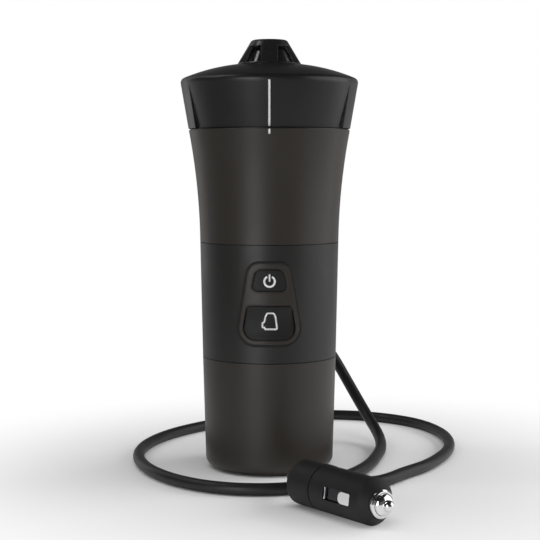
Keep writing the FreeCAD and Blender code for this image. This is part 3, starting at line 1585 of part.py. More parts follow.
def coil(label, low, high, radius, wire, turns):
    """A round wire wound on a cylinder."""
    span = high - low
    helix = Part.makeHelix(span / turns, span, radius)
    start = Part.Circle(FreeCAD.Vector(radius, 0, 0), FreeCAD.Vector(0, 1, 0), wire)
    pipe = Part.Wire(helix).makePipeShell([Part.Wire(start.toShape())], True, True)
    thing = doc.addObject("Part::Feature", label)
    thing.Label = label
    thing.Shape = pipe
    thing.Placement = FreeCAD.Placement(FreeCAD.Vector(0, 0, low), FreeCAD.Rotation())
    return thing


wire = [num("spring_radius"), num("spring_wire"), num("spring_turns")]
on_plug(coil("plug_tip_spring", num(SPRING_LOW), num(SPRING_HIGH), *wire))

# Cord, from the end of the gland to the back of the plug
CORD_ROUTE = [
    (0, 56, 88), (0, 68, 88), (2.5, 79, 84), (8, 87.5, 76), (20.5, 89.5, 64), (35, 87, 49), (45.5, 79.5, 31),
    (55, 67.5, 15), (61.5, 49.5, 5.5), (61, 27.5, 3.1), (56.5, 4.5, 3.1), (50.5, -18.5, 3.1),
    (40, -40.5, 3.1), (25, -60, 3.1), (3.5, -71, 3.1), (-23.5, -68.5, 3.1), (-47, -51, 3.1),
    (-64, -21.5, 3.1), (-71.5, 16.5, 3.1), (-62.5, 58, 3.1), (-37, 95.5, 3.1), (1.5, 122.5, 3.1),
    (46.5, 130.5, 3.1), (84, 108.5, 3.1), (100, 71.5, 3.1),
    (99.5, 27.5, 3.1), (83, -14.5, 3.1), (67, -34.5, 3.1), (57.5, -50, 3.1), (48, -57, 3.1), (38.2, -59, 5.2),
    (29.2, -57.6, 9.9), (20.2, -56.9, 9.6), (12.8, -61.1, 9.7), (8.8, -68.6, 9.9), (9.5, -77.1, 10.5),
    (15.5, -85.1, 10.5),
]


def cord(label, route, diameter):
    """A tube along straight runs joined by tangent arcs, each as large as its two runs allow."""
    points = [FreeCAD.Vector(*point) for point in route]
    edges = []
    here = points[0]
    for back, corner, ahead in zip(points, points[1:], points[2:]):
        before = (corner - back).normalize()
        after = (ahead - corner).normalize()
        turn = before.getAngle(after)
        reach = 0.45 * min((corner - back).Length, (ahead - corner).Length)
        bend = reach / math.tan(turn / 2)
        enter = corner - before * reach
        leave = corner + after * reach
        middle = corner + (after - before).normalize() * (bend / math.cos(turn / 2) - bend)
        edges.append(Part.LineSegment(here, enter).toShape())
        edges.append(Part.Arc(enter, middle, leave).toShape())
        here = leave
        degrees = math.degrees(turn)
        print("cord at %s turns %.0f degrees on a radius of %.1f mm" % (tuple(corner), degrees, bend))
    edges.append(Part.LineSegment(here, points[-1]).toShape())
    path = Part.Wire(edges)
    section = Part.Circle(points[0], points[1] - points[0], diameter / 2)
    thing = doc.addObject("Part::Feature", label)
    thing.Label = label
    thing.Shape = path.makePipeShell([Part.Wire(section.toShape())], True, False)
    drawn = math.pi * diameter * diameter / 4 * path.Length
    print("cord length %.0f mm, volume %.0f of %.0f" % (path.Length, thing.Shape.Volume, drawn))
    return keep(thing)


cord("cord", CORD_ROUTE, num("cord_diameter"))

# Writing
doc.recompute()
for thing in doc.Objects:
    if "Invalid" in thing.State or "Error" in thing.State:
        raise RuntimeError(thing.Name + " failed")
os.makedirs("parts", exist_ok=True)
for thing in parts:
    shape = thing.Shape
    if shape.isNull() or not shape.isValid():
        raise RuntimeError(thing.Label + " has no valid shape")
    shape.exportStep(os.path.join("parts", thing.Label + ".step"))
    box = shape.BoundBox
    facts = (thing.Label, len(shape.Solids), box.ZMin, box.ZMax, shape.Volume)
    print("%-22s solids %d  z %.2f to %.2f  volume %.0f" % facts)
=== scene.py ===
# %% [markdown]
# # Car espresso maker
# This file dresses a finished mechanical model of a hand-held espresso maker for a car.
# The solids are loaded first and never changed. Each visible piece then gets its surface,
# and each finish is worked out from what the real one is made of. Blender counts in metres,
# so sizes of the machine are written in millimetres and multiplied by MM. The studio round
# it is written in metres.

# %% Load the solids
import json
import math

import bmesh
import bpy
from mathutils import Matrix, Vector
from mathutils.bvhtree import BVHTree


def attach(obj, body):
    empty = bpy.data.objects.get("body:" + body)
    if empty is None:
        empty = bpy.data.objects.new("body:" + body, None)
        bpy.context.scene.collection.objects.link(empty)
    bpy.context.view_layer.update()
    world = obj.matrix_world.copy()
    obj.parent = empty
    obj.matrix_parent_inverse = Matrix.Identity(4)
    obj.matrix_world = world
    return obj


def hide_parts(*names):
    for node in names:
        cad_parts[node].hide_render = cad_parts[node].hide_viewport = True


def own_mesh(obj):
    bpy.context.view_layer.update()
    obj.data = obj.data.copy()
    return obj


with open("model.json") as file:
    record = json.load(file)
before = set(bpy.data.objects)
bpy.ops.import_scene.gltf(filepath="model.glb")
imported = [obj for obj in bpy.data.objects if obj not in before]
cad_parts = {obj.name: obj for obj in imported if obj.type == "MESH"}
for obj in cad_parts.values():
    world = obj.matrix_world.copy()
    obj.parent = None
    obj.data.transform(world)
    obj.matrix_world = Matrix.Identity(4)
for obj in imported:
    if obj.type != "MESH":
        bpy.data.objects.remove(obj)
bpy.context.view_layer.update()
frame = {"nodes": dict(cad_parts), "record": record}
MM = 0.001
scene = bpy.context.scene
print("solids loaded:", len(frame["nodes"]))

# %% [markdown]
# ## Tools for finishes
# Colours are picked as screen hex values, but a renderer adds up light in linear
# values, so one function turns the first into the second. Nodes could be added and linked
# one statement at a time. A second function does it in one call, with a node's settings, its
# socket values and its links, so that each recipe reads as a short list.

# %% Colour and node tools
# A Mix node has an A, a B and a result for each kind of data, so they go by number.
COLOUR_A, COLOUR_B, COLOUR_OUT = 6, 7, 2
NUMBER_A, NUMBER_B, NUMBER_OUT = 2, 3, 0


def colour(code):
    """A screen hex value as the linear colour that the renderer needs."""
    parts = [int(code[place:place + 2], 16) / 255 for place in (0, 2, 4)]
    linear = [part / 12.92 if part <= 0.04045 else ((part + 0.055) / 1.055) ** 2.4 for part in parts]
    return (*linear, 1.0)


def add(finish, kind, settings={}, sockets={}, links={}):
    """Adds one node with its settings, its socket values and links from other nodes' outputs.

    A socket goes by its name, or by its number where several have the same name.
    """
    node = finish.node_tree.nodes.new("ShaderNode" + kind)
    for name, value in settings.items():
        setattr(node, name, value)
    for name, value in sockets.items():
        node.inputs[name].default_value = value
    for name, source in links.items():
        finish.node_tree.links.new(source, node.inputs[name])
    return node


def shader_of(finish):
    """The shader that every material starts with."""
    return finish.node_tree.nodes["Principled BSDF"]


def new_finish(name):
    """A new material, and the place on the object, which its patterns read."""
    finish = bpy.data.materials.new(name)
    finish.use_nodes = True
    return finish, add(finish, "TexCoord").outputs["Object"]


# %% [markdown]
# ## Laying a surface
# A plain colour looks like a computer's picture, because a real surface is never even. All
# surfaces here are laid in the same three ways: a pattern moves the colour between two close
# tones, moves the gloss a little, and lifts the surface by hundredths of a millimetre. Real
# edges are never sharp either. The relief starts from a normal that is rounded at edges,
# which catches the light there and costs no faces.

# %% Laying a surface
# Nearly all values of a noise lie between these two.
NOISE_LOW, NOISE_HIGH = 0.3, 0.7


def lay(finish, pattern, gloss_pattern, tones, gloss_ends, relief, depth, edge):
    """Drives a shader's colour, gloss and relief by patterns, with its edges rounded.

    The tones are two hex values, the gloss ends two roughnesses, and depth and edge are in
    millimetres.
    """
    rounded = add(finish, "Bevel", {"samples": 4}, sockets={"Radius": edge * MM})
    tint = add(
        finish, "Mix", {"data_type": "RGBA"},
        sockets={COLOUR_A: colour(tones[0]), COLOUR_B: colour(tones[1])}, links={"Factor": pattern},
    )
    smooth, rough = gloss_ends
    gloss = add(
        finish, "MapRange",
        sockets={"From Min": NOISE_LOW, "From Max": NOISE_HIGH, "To Min": smooth, "To Max": rough},
        links={"Value": gloss_pattern},
    )
    bump = add(
        finish, "Bump", sockets={"Strength": relief, "Distance": depth * MM},
        links={"Height": pattern, "Normal": rounded.outputs["Normal"]},
    )
    links = finish.node_tree.links
    links.new(tint.outputs[COLOUR_OUT], shader_of(finish).inputs["Base Color"])
    links.new(gloss.outputs["Result"], shader_of(finish).inputs["Roughness"])
    links.new(bump.outputs["Normal"], shader_of(finish).inputs["Normal"])


# %% [markdown]
# ## Moulded plastics
# The casing, the band and the lid are ABS, moulded in a steel tool whose surface was
# spark-eroded. That leaves a grain of about a third of a millimetre, which spreads each
# reflection into a soft band. The grain is drawn a little coarser than it is, so that it
# still shows in a picture of this size. A slower noise changes the gloss slightly, as
# handling does. The eye gets dark, warm plastic that is neither matt nor glossy.

# %% Moulded plastics
ABS_IOR = 1.53
GRAIN_DEPTH = 0.02
SMEARS_PER_METRE = 45.0
GLOSS_SPREAD = (-0.03, 0.04)


def moulded(name, shade, bright, roughness, grain=0.5, relief=0.12, edge=0.3):
    """A moulded plastic or rubber: its grain and edge are in millimetres."""
    finish, place = new_finish(name)
    fine = add(finish, "TexNoise", sockets={"Scale": 1000 / grain, "Detail": 2.0}, links={"Vector": place})
    smears = add(
        finish, "TexNoise", sockets={"Scale": SMEARS_PER_METRE, "Detail": 3.0}, links={"Vector": place},
    )
    lay(
        finish, fine.outputs["Fac"], smears.outputs["Fac"], tones=(shade, bright),
        gloss_ends=[roughness + part for part in GLOSS_SPREAD], relief=relief, depth=GRAIN_DEPTH, edge=edge,
    )
    shader_of(finish).inputs["IOR"].default_value = ABS_IOR
    return finish


casing_abs = moulded("casing_abs_umber", "29231e", "2d2823", 0.40)
band_abs = moulded("band_abs_black", "191918", "1d1d1c", 0.40)
lid_abs = moulded("lid_abs_black", "151515", "191919", 0.35)
print("moulded:", casing_abs.name, band_abs.name, lid_abs.name)

# %% [markdown]
# The panel is the casing's plastic, but its frame is rolled, so its edges are rounded far
# more. The buttons have soft edges and are matt, so that a finger's grease doesn't show. The
# cage and the nozzle of the spout come from polished tools, which leaves them almost without
# grain, and the nozzle mirrors the lamps in narrow lines. The plug is polycarbonate, matt
# enough to look black from every side. Less mirroring makes a surface blacker than a darker
# colour would, so the two matt ones get a lower specular level.

# %% Panel, buttons, spout and plug
panel_abs = moulded("panel_abs_umber", "29231e", "2d2823", 0.40, edge=2.2)
button_abs = moulded("button_abs_black", "171717", "1b1b1b", 0.52, edge=1.0)
spout_abs = moulded("spout_abs_polished", "191919", "1c1c1c", 0.28, relief=0.04, edge=0.6)
nozzle_abs = moulded("nozzle_abs_gloss", "161616", "191919", 0.14, relief=0.02, edge=0.4)
plug_abs = moulded("plug_polycarbonate_black", "131313", "161616", 0.58, edge=0.4)
for dull, level in ((plug_abs, 0.43), (button_abs, 0.35)):
    shader_of(dull).inputs["Specular IOR Level"].default_value = level
    print(dull.name, "mirrors less:", level)

# %% [markdown]
# Inside, the frame and the pump are glass-filled nylon, grey and a little rough from its
# fibres. The pad tray and the brew head are polypropylene, which is softer and looks
# slightly waxy. The same recipe makes both, because both are moulded.

# %% Inner plastics
inner_nylon = moulded("inner_nylon_grey", "55565a", "5d5e62", 0.50)
brew_polypropylene = moulded("brew_polypropylene_black", "262626", "2b2b2b", 0.42)
print("inner plastics:", inner_nylon.name, brew_polypropylene.name)

# %% [markdown]
# ## Rubber, silicone and the cord's jacket
# The cord is jacketed in soft PVC: darker and smoother than the foot's rubber, with a faint
# sheen that draws one narrow highlight along it. The foot is matt rubber. The bead round the
# panel is matt black painted shade, which stands in for the shade in the groove round the panel.
# The seals are translucent silicone. A transparent shader would make them look like glass, so
# they get a little subsurface light instead, which glows at thin edges.

# %% Soft finishes
cord_pvc = moulded("cord_pvc_black", "161616", "1a1a1a", 0.45, grain=0.6, relief=0.06)
foot_rubber = moulded("foot_rubber_matt", "1b1b1b", "212121", 0.72, grain=0.4, relief=0.3)
# Painted shade: a matt near-black for the bead that stands in for the shade in the panel's groove.
groove_shade_black = moulded("panel_groove_shade_black", "0b0b0b", "0f0f0f", 0.7, relief=0.02)
seal_silicone = moulded("seal_silicone_grey", "b5b0a8", "bdb8b0", 0.45)
shader_of(seal_silicone).inputs["Subsurface Weight"].default_value = 0.2
shader_of(seal_silicone).inputs["Subsurface Radius"].default_value = (2 * MM, 2 * MM, 1.5 * MM)
print("soft finishes:", cord_pvc.name, foot_rubber.name, groove_shade_black.name, seal_silicone.name)

# %% [markdown]
# ## Metals
# The plug's tip, nut and side contacts are nickel-plated, polished to a mirror. The screws
# and the sieve are plain stainless steel, turned or punched. The motor's can is zinc-plated
# steel, the tank is spun aluminium, and the safety valve is turned brass. A tool leaves fine
# marks round a turned piece. They could be modelled as rings, but a noise that is squeezed in
# height gives the same streaks. It is drawn at 4.5 mm long and some tenths high, which is
# coarser than real marks, so that it shows.

# %% Metals
MARKS_PER_METRE = 220.0
MARK_DEPTH = 0.03
MARK_GLOSS_SPREAD = (0.8, 1.2)


def metal(name, shade, bright, roughness, squeeze=12.0, relief=0.03, edge=0.15):
    """A turned, spun or plated metal, with marks that run round it."""
    finish, place = new_finish(name)
    squeezed = add(finish, "Mapping", sockets={"Scale": (1.0, 1.0, squeeze)}, links={"Vector": place})
    noise = add(
        finish, "TexNoise", sockets={"Scale": MARKS_PER_METRE, "Detail": 4.0},
        links={"Vector": squeezed.outputs["Vector"]},
    )
    marks = noise.outputs["Fac"]
    lay(
        finish, marks, marks, tones=(shade, bright),
        gloss_ends=[roughness * part for part in MARK_GLOSS_SPREAD],
        relief=relief, depth=MARK_DEPTH, edge=edge,
    )
    shader_of(finish).inputs["Metallic"].default_value = 1.0
    return finish


plug_nickel = metal("plug_nickel_polished", "ececec", "f8f8f8", 0.08, relief=0.01)
screw_steel = metal("screw_stainless", "b4b4b6", "c4c4c6", 0.30)
motor_steel = metal("motor_can_zinc", "a8aab0", "b8bac0", 0.38)
tank_aluminium = metal("tank_aluminium_spun", "c2c3c6", "d0d1d4", 0.34, squeeze=30.0)
valve_brass = metal("valve_brass_turned", "b9934f", "c9a562", 0.30)
metals = (plug_nickel, screw_steel, motor_steel, tank_aluminium, valve_brass)
print("metals:", [finish.name for finish in metals])

# %% [markdown]
# ## The plug's axis
# The plug lies askew on the table, so nothing on it is level or square. What is drawn along
# it or round it needs its axis. That could be measured from a mesh, but the record already
# says which way the plug's sprung tip moves, and the cord ends where the plug starts. One
# more tool lays a plain colour or number over a part of a finish, wherever a mask is 0.

# %% Axis of the plug
CORD_END = (15.5, -85.1, 10.5)
joints = frame["record"]["behaviour"]["joints"]
plug_joint = next(joint for joint in joints if joint["name"] == "plug_tip_press")
plug_ahead = -Vector(plug_joint["axis"])
plug_rear = Vector([part * MM for part in CORD_END])
print("plug's axis points to", [round(part, 3) for part in plug_ahead])


def from_plug_rear(finish):
    """The way from the cord's end to each point of the surface."""
    place = add(finish, "TexCoord").outputs["Object"]
    away = add(finish, "VectorMath", {"operation": "SUBTRACT"}, sockets={1: plug_rear}, links={0: place})
    return away.outputs["Vector"]


def cover(finish, socket, mask, plain):
    """Lays a plain colour or number over what drives a shader's socket, where the mask is 0."""
    target = shader_of(finish).inputs[socket]
    kind, plain_at, kept_at, result = "FLOAT", NUMBER_A, NUMBER_B, NUMBER_OUT
    if target.type == "RGBA":
        kind, plain_at, kept_at, result = "RGBA", COLOUR_A, COLOUR_B, COLOUR_OUT
    mix = add(
        finish, "Mix", {"data_type": kind}, sockets={plain_at: plain},
        links={"Factor": mask, kept_at: target.links[0].from_socket},
    )
    finish.node_tree.links.new(mix.outputs[result], target)


# %% [markdown]
# ## Groove round the plug
# Where the plug's rear cap meets its barrel, both moulded edges are eased, and the groove
# between them lies in shade. A cut of this depth would take many faces. So the groove's shade
# is painted instead, by the distance along the plug's axis, which takes the colour and the
# gloss away over half a millimetre on each side of the joint. The joint is where the cap's wide part ends.

# %% Groove round the plug
BARREL_LEAST = 9.8
GROOVE_DARK_TO = 0.3
GROOVE_CLEAR_FROM = 0.55
rear_offsets = [vert.co - plug_rear for vert in frame["nodes"]["plug_rear_cap"].data.vertices]
wide_offsets = [offset for offset in rear_offsets if offset.cross(plug_ahead).length > BARREL_LEAST * MM]
seam_at = max(offset.dot(plug_ahead) for offset in wide_offsets)
print("groove at %.1f mm from the cord's end" % (seam_at / MM))
along = add(
    plug_abs, "VectorMath", {"operation": "DOT_PRODUCT"}, sockets={1: plug_ahead},
    links={0: from_plug_rear(plug_abs)},
)
past_seam = add(
    plug_abs, "Math", {"operation": "SUBTRACT"}, sockets={1: seam_at}, links={0: along.outputs["Value"]},
)
from_seam = add(plug_abs, "Math", {"operation": "ABSOLUTE"}, links={0: past_seam.outputs["Value"]})
clear_of_groove_shade = add(
    plug_abs, "MapRange", sockets={"From Min": GROOVE_DARK_TO * MM, "From Max": GROOVE_CLEAR_FROM * MM},
    links={"Value": from_seam.outputs["Value"]},
)
# Painted shade: near black and fully rough along the groove.
cover(plug_abs, "Base Color", clear_of_groove_shade.outputs["Result"], colour("050505"))
cover(plug_abs, "Roughness", clear_of_groove_shade.outputs["Result"], 1.0)

# %% [markdown]
# ## Sprung side contacts
# The side contacts are nickel-plated strips of spring steel. The pad that touches the socket
# and the lip at the other end stand out, while the floor between them lies deep in the plug's
# window, in its shade. That shade is painted: the floor is coloured dark grey. Two materials on
# one strip would need its faces sorted, so the painted shade is laid by the distance from the
# plug's axis. The eye gets the bright pad against the dark floor of its window.

# %% Sprung side contacts
WINDOW_SHADE_TO = 9.0
WINDOW_SHADE_CLEAR_FROM = 9.3
contact_spring = metal("contact_nickel_window_shade_painted", "ececec", "f8f8f8", 0.10, relief=0.01)
aside = add(
    contact_spring, "VectorMath", {"operation": "CROSS_PRODUCT"}, sockets={1: plug_ahead},
    links={0: from_plug_rear(contact_spring)},
)
off_axis = add(contact_spring, "VectorMath", {"operation": "LENGTH"}, links={0: aside.outputs["Vector"]})
clear_of_window_shade = add(
    contact_spring, "MapRange", sockets={"From Min": WINDOW_SHADE_TO * MM, "From Max": WINDOW_SHADE_CLEAR_FROM * MM},
    links={"Value": off_axis.outputs["Value"]},
)
# Painted shade: nearer the axis than the pad and lip, the nickel strip is coloured dark grey.
cover(contact_spring, "Base Color", clear_of_window_shade.outputs["Result"], colour("3e3e41"))
print("plated from %.1f mm off the axis" % WINDOW_SHADE_CLEAR_FROM)

# %% [markdown]
# ## Board, ink and fuse glass
# The control board is glass-fibre epoxy under a green lacquer. The marks are pad-printed in
# white ink, which lies flush on the plastic and is matt. The fuse is a clear glass tube. A low
# alpha would only thin it out, while a transmission weight also bends what lies behind it. A
# slow noise hazes it faintly.

# %% Board, ink and glass
HAZE_PER_METRE = 300.0
board_epoxy = moulded("board_epoxy_green", "1d4a2c", "245434", 0.35, grain=0.8)
mark_ink = moulded("mark_ink_white", "fbfbfb", "ffffff", 0.55, relief=0.02)
fuse_glass, place = new_finish("fuse_glass_clear")
haze = add(fuse_glass, "TexNoise", sockets={"Scale": HAZE_PER_METRE}, links={"Vector": place})
cloud = add(
    fuse_glass, "MapRange", sockets={"To Min": 0.03, "To Max": 0.10}, links={"Value": haze.outputs["Fac"]},
)
fuse_glass.node_tree.links.new(cloud.outputs["Result"], shader_of(fuse_glass).inputs["Roughness"])
shader_of(fuse_glass).inputs["Base Color"].default_value = colour("e8f0ee")
shader_of(fuse_glass).inputs["Transmission Weight"].default_value = 1.0
print("board, ink and glass:", board_epoxy.name, mark_ink.name, fuse_glass.name)

# %% [markdown]
# ## Every solid gets its finish
# Most of what shows is the mechanical model itself, whose shapes are right already. Its
# meshes are left alone, and only their material slots are filled. The pieces could be
# dressed one by one, but one table shows at a glance what is made of what, and the printed
# list proves that no piece was forgotten.

# %% Finish of each node
FINISHES = {
    casing_abs: ["base_plate", "bottom_shell", "upper_shell"],
    panel_abs: ["button_panel"],
    band_abs: ["middle_sleeve", "neck_ring"],
    lid_abs: ["lid_shell"],
    button_abs: ["power_button", "brew_button"],
    spout_abs: ["spout_cage"],
    nozzle_abs: ["spout_nozzle"],
    plug_abs: ["plug_body", "plug_rear_cap", "contact_carrier"],
    inner_nylon: [
        "pump_crank", "pump_housing", "pump_cover", "inner_frame", "tact_switches", "gland_nut",
        "check_valve",
    ],
    brew_polypropylene: ["pod_holder", "brew_head"],
    cord_pvc: ["cord", "strain_relief"],
    foot_rubber: ["foot_ring", "motor_damper"],
    seal_silicone: ["pump_membrane", "tank_gasket", "air_tube", "lid_seal"],
    plug_nickel: ["plug_nut", "plug_tip"],
    contact_spring: ["plug_contact_front", "plug_contact_back"],
    screw_steel: [
        "base_screws", "motor_shaft", "pump_screws", "frame_screws", "board_screws", "heater_screw",
        "tie_screws", "screen_screws", "lid_screws", "shower_screen", "plug_tip_spring",
    ],
    motor_steel: ["pump_motor", "heater_band", "thermostat", "thermal_link"],
    tank_aluminium: ["boiler_tank"],
    valve_brass: ["safety_valve"],
    board_epoxy: ["control_board"],
    fuse_glass: ["plug_fuse"],
}
for finish, names in FINISHES.items():
    for name in names:
        mesh = frame["nodes"][name].data
        mesh.materials.clear()
        mesh.materials.append(finish)
dressed = {name for names in FINISHES.values() for name in names}
print("nodes without a finish:", sorted(set(frame["nodes"]) - dressed))

# %% [markdown]
# ## Tools for the new pieces
# What the solids lack is thin: a thread, a skirt, the printed marks, and a bead of painted
# shade. The plug's spring is new too, a merged copy in place of the solid one, which can't get
# shorter when the tip goes in. Modifiers could make some of them from a simple mesh. Most start
# as a bmesh instead, a mesh in the making that can be spun, cut and welded in plain sight. It
# becomes an object whose place lies in its mesh, and is told which moving body it rides on.

# %% Placing a piece
BODY_OF = {name: body for body, names in frame["record"]["behaviour"]["bodies"].items() for name in names}
SHARP = math.radians(35)
print("moving bodies:", sorted(set(BODY_OF.values())))


def place_piece(name, shape, finish, body, creased=True):
    """Turns a bmesh into an object that rides on a body, and closes the bmesh.

    Its faces are shaded smooth, and where it is creased, sharp edges stay sharp.
    """
    mesh = bpy.data.meshes.new(name)
    for face in shape.faces:
        face.smooth = True
    shape.to_mesh(mesh)
    shape.free()
    if creased:
        mesh.set_sharp_from_angle(angle=SHARP)
    mesh.materials.append(finish)
    thing = bpy.data.objects.new(name, mesh)
    scene.collection.objects.link(thing)
    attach(thing, body)
    return thing


def round_bar(name, kind, points, radius, finish, sides):
    """A curve with a thickness along points in millimetres, and the one line in it.

    The more sides, the rounder the bar.
    """
    curve = bpy.data.curves.new(name, "CURVE")
    curve.dimensions = "3D"
    curve.bevel_depth = radius * MM
    curve.bevel_resolution = sides
    curve.materials.append(finish)
    line = curve.splines.new(kind)
    line.points.add(len(points) - 1)
    for point, place in zip(line.points, points):
        point.co = (*[part * MM for part in place], 1)
    thing = bpy.data.objects.new(name, curve)
    scene.collection.objects.link(thing)
    return thing, line


# %% [markdown]
# ## The groove round the panel
# The brown panel sits in a window of the black band, and the groove between them lies in
# shade. A matt black bead in the groove is painted shade: it draws a dark line of about a
# millimetre round the panel. The bead could be drawn by hand, but then it would miss the panel
# whenever that changes, so it follows the panel's own front edge. The edge is found in a merged
# copy of the solid: edges where a face that looks forward meets one that looks sideways, walked
# from the lowest one. The hidden flange has such edges too, but it lies further in than the panel's skin.

# %% Bead round the panel
BEAD_RADIUS = 0.7
BEAD_SUNK = 0.5
PANEL_WELD = 0.003
PANEL_FLAT = math.radians(0.5)
PANEL_SKIN = 34.0
EDGE_LEAST = math.radians(50)
FORWARD_LEAST = 0.6
SIDEWAYS_MOST = 0.5
panel = bmesh.new()
panel.from_mesh(frame["nodes"]["button_panel"].data)
bmesh.ops.remove_doubles(panel, verts=panel.verts, dist=PANEL_WELD * MM)
bmesh.ops.dissolve_limit(
    panel, angle_limit=PANEL_FLAT, verts=panel.verts, edges=panel.edges, delimit={"NORMAL"},
)


def is_front_edge(edge):
    """True where a face that looks forward meets one that looks sideways, at the panel's skin."""
    if not edge.is_manifold or edge.calc_face_angle(0) < EDGE_LEAST:
        return False
    if min(vert.co.xy.length for vert in edge.verts) < PANEL_SKIN * MM:
        return False
    sideways, forward = sorted(-face.normal.y for face in edge.link_faces)
    return forward > FORWARD_LEAST and sideways < SIDEWAYS_MOST


front_edges = [edge for edge in panel.edges if is_front_edge(edge)]
first = min(front_edges, key=lambda edge: edge.verts[0].co.z + edge.verts[1].co.z)
walked = [first.verts[0]]
edge, corner = first, first.verts[1]
while corner != walked[0]:
    walked.append(corner)
    edge = next(other for other in corner.link_edges if other in front_edges and other != edge)
    corner = edge.other_vert(corner)
bead_places = [corner.co / MM + Vector((0, BEAD_SUNK, 0)) for corner in walked]
panel.free()
panel_groove_shade_bead, line = round_bar("panel_groove_shade_bead", "POLY", bead_places, BEAD_RADIUS, groove_shade_black, sides=3)
line.use_cyclic_u = True
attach(panel_groove_shade_bead, BODY_OF["button_panel"])
print("bead's points:", len(bead_places), "lowest at", round(min(place.z for place in bead_places), 1))

# %% [markdown]
# ## Thread on the neck
# The lid screws on. Under it the neck carries a two-start thread: two low ridges that run
# round the neck while they climb, half a turn apart. A Screw modifier could sweep them. A
# spin with a climb does the same in one call, from the ridge's profile, and its result is
# a plain closed mesh.

# %% Neck thread
NECK_RADIUS = 37.3
THREAD_HEIGHT = 0.32
THREAD_SUNK = 0.05
THREAD_PITCH = 5.2
THREAD_LOW = 176.2
THREAD_TURN = math.radians(400)
THREAD_STEPS = 100
THREAD_PROFILE = [(-THREAD_SUNK, -0.65), (THREAD_HEIGHT, -0.3), (THREAD_HEIGHT, 0.3), (-THREAD_SUNK, 0.65)]
climb = THREAD_PITCH * THREAD_TURN / (2 * math.pi) / THREAD_STEPS
for start in (0, 180):
    ridge = bmesh.new()
    ridge.faces.new([
        ridge.verts.new(((NECK_RADIUS + out) * MM, 0, (THREAD_LOW + up) * MM)) for out, up in THREAD_PROFILE
    ])
    turn = Matrix.Rotation(math.radians(start), 3, "Z")
    bmesh.ops.rotate(ridge, cent=(0, 0, 0), matrix=turn, verts=ridge.verts[:])
    bmesh.ops.spin(
        ridge, geom=ridge.verts[:] + ridge.edges[:] + ridge.faces[:], cent=(0, 0, 0), axis=(0, 0, 1),
        dvec=(0, 0, climb * MM), angle=THREAD_TURN, steps=THREAD_STEPS,
    )
    bmesh.ops.recalc_face_normals(ridge, faces=ridge.faces[:])
    heights = [vert.co.z / MM for vert in ridge.verts]
    open_edges = sum(not edge.is_manifold for edge in ridge.edges)
    print("thread from %.1f to %.1f mm, open edges: %d" % (min(heights), max(heights), open_edges))
    place_piece("neck_thread_%d" % start, ridge, band_abs, BODY_OF["neck_ring"])

# %% [markdown]
# ## The nozzle's skirt
# Between the nozzle and the ribs of its cage is a slit, and the real nozzle closes it with a
# thin polished skirt, so that no daylight shows through. It is a round piece, so its section
# is drawn once and spun a full turn, and the seam of the spin is merged.

# %% Nozzle skirt
SKIRT_SECTION = [(12.5, 208.0), (8.35, 216.0), (8.5, 216.0), (12.75, 208.0)]
SKIRT_STEPS = 96
WELD = 0.002
skirt = bmesh.new()
points = [skirt.verts.new((out * MM, 0, up * MM)) for out, up in SKIRT_SECTION]
edges = [skirt.edges.new((points[place - 1], points[place])) for place in range(len(points))]
bmesh.ops.spin(
    skirt, geom=points + edges, cent=(0, 0, 0), axis=(0, 0, 1), angle=2 * math.pi, steps=SKIRT_STEPS,
    use_merge=True,
)
bmesh.ops.remove_doubles(skirt, verts=skirt.verts[:], dist=WELD * MM)
bmesh.ops.recalc_face_normals(skirt, faces=skirt.faces[:])
print("skirt's open edges:", sum(not edge.is_manifold for edge in skirt.edges))
place_piece("nozzle_skirt", skirt, nozzle_abs, BODY_OF["spout_nozzle"])

# %% [markdown]
# ## The spring behind the plug's tip
# A coil spring pushes the plug's tip forward. When the tip goes in, the coil gets shorter
# instead of moving. The solid one can't do that, and would run into the fuse. So a merged
# copy of it stands in its place.

# %% Tip spring
coil = bmesh.new()
coil.from_mesh(frame["nodes"]["plug_tip_spring"].data)
bmesh.ops.remove_doubles(coil, verts=coil.verts, dist=WELD * MM)
tip_spring = place_piece("tip_spring_coil", coil, screw_steel, BODY_OF["plug_tip_spring"])
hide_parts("plug_tip_spring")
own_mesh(tip_spring)

# %% [markdown]
# ## Printed marks
# The white marks are pad-printed: an index line that runs down the lid and on to the casing,
# a power sign, and a cup. An image could carry them, but it would blur close up. Each is
# drawn flat instead, facing forward, and cut into small faces so that it can bend. Then every
# point is pushed back until it meets the surface that carries it. A wall of a few hundredths
# of a millimetre makes it a closed film of ink.

# %% Drawing tools
CORNER_STEPS = 4


def drawing(corners):
    """A bmesh with one flat face that looks forward, through (across, up) points."""
    shape = bmesh.new()
    face = shape.faces.new([shape.verts.new((across * MM, 0, up * MM)) for across, up in corners])
    shape.normal_update()
    if face.normal.y > 0:
        face.normal_flip()
    return shape


def ease(shape, corners, radius):
    """Rounds corners of a flat drawing."""
    bmesh.ops.bevel(
        shape, geom=corners, offset=radius * MM, offset_type="OFFSET", segments=CORNER_STEPS, profile=0.5,
        affect="VERTICES", material=-1,
    )


def upright(across, low, high, width, radius):
    """A drawing of one upright stroke with rounded corners."""
    left, right = across - width / 2, across + width / 2
    shape = drawing([(left, low), (right, low), (right, high), (left, high)])
    ease(shape, shape.verts[:], radius)
    return shape


# %% [markdown]
# A flat face can only bend at its edges, so a drawing is first cut across and upwards into
# cells. A ray from in front of the machine then finds the surface behind each point. A
# Shrinkwrap modifier could project the points too. A ray for each shows what that does, and
# leaves no modifier to apply. The points move straight back only, which keeps the mark's
# outline as it looks from the front.

# %% Printing tools
FILM = 0.09
PROUD = 0.06
CELL = 0.6
CUT_WELD = 0.0001
IN_FRONT = -100.0


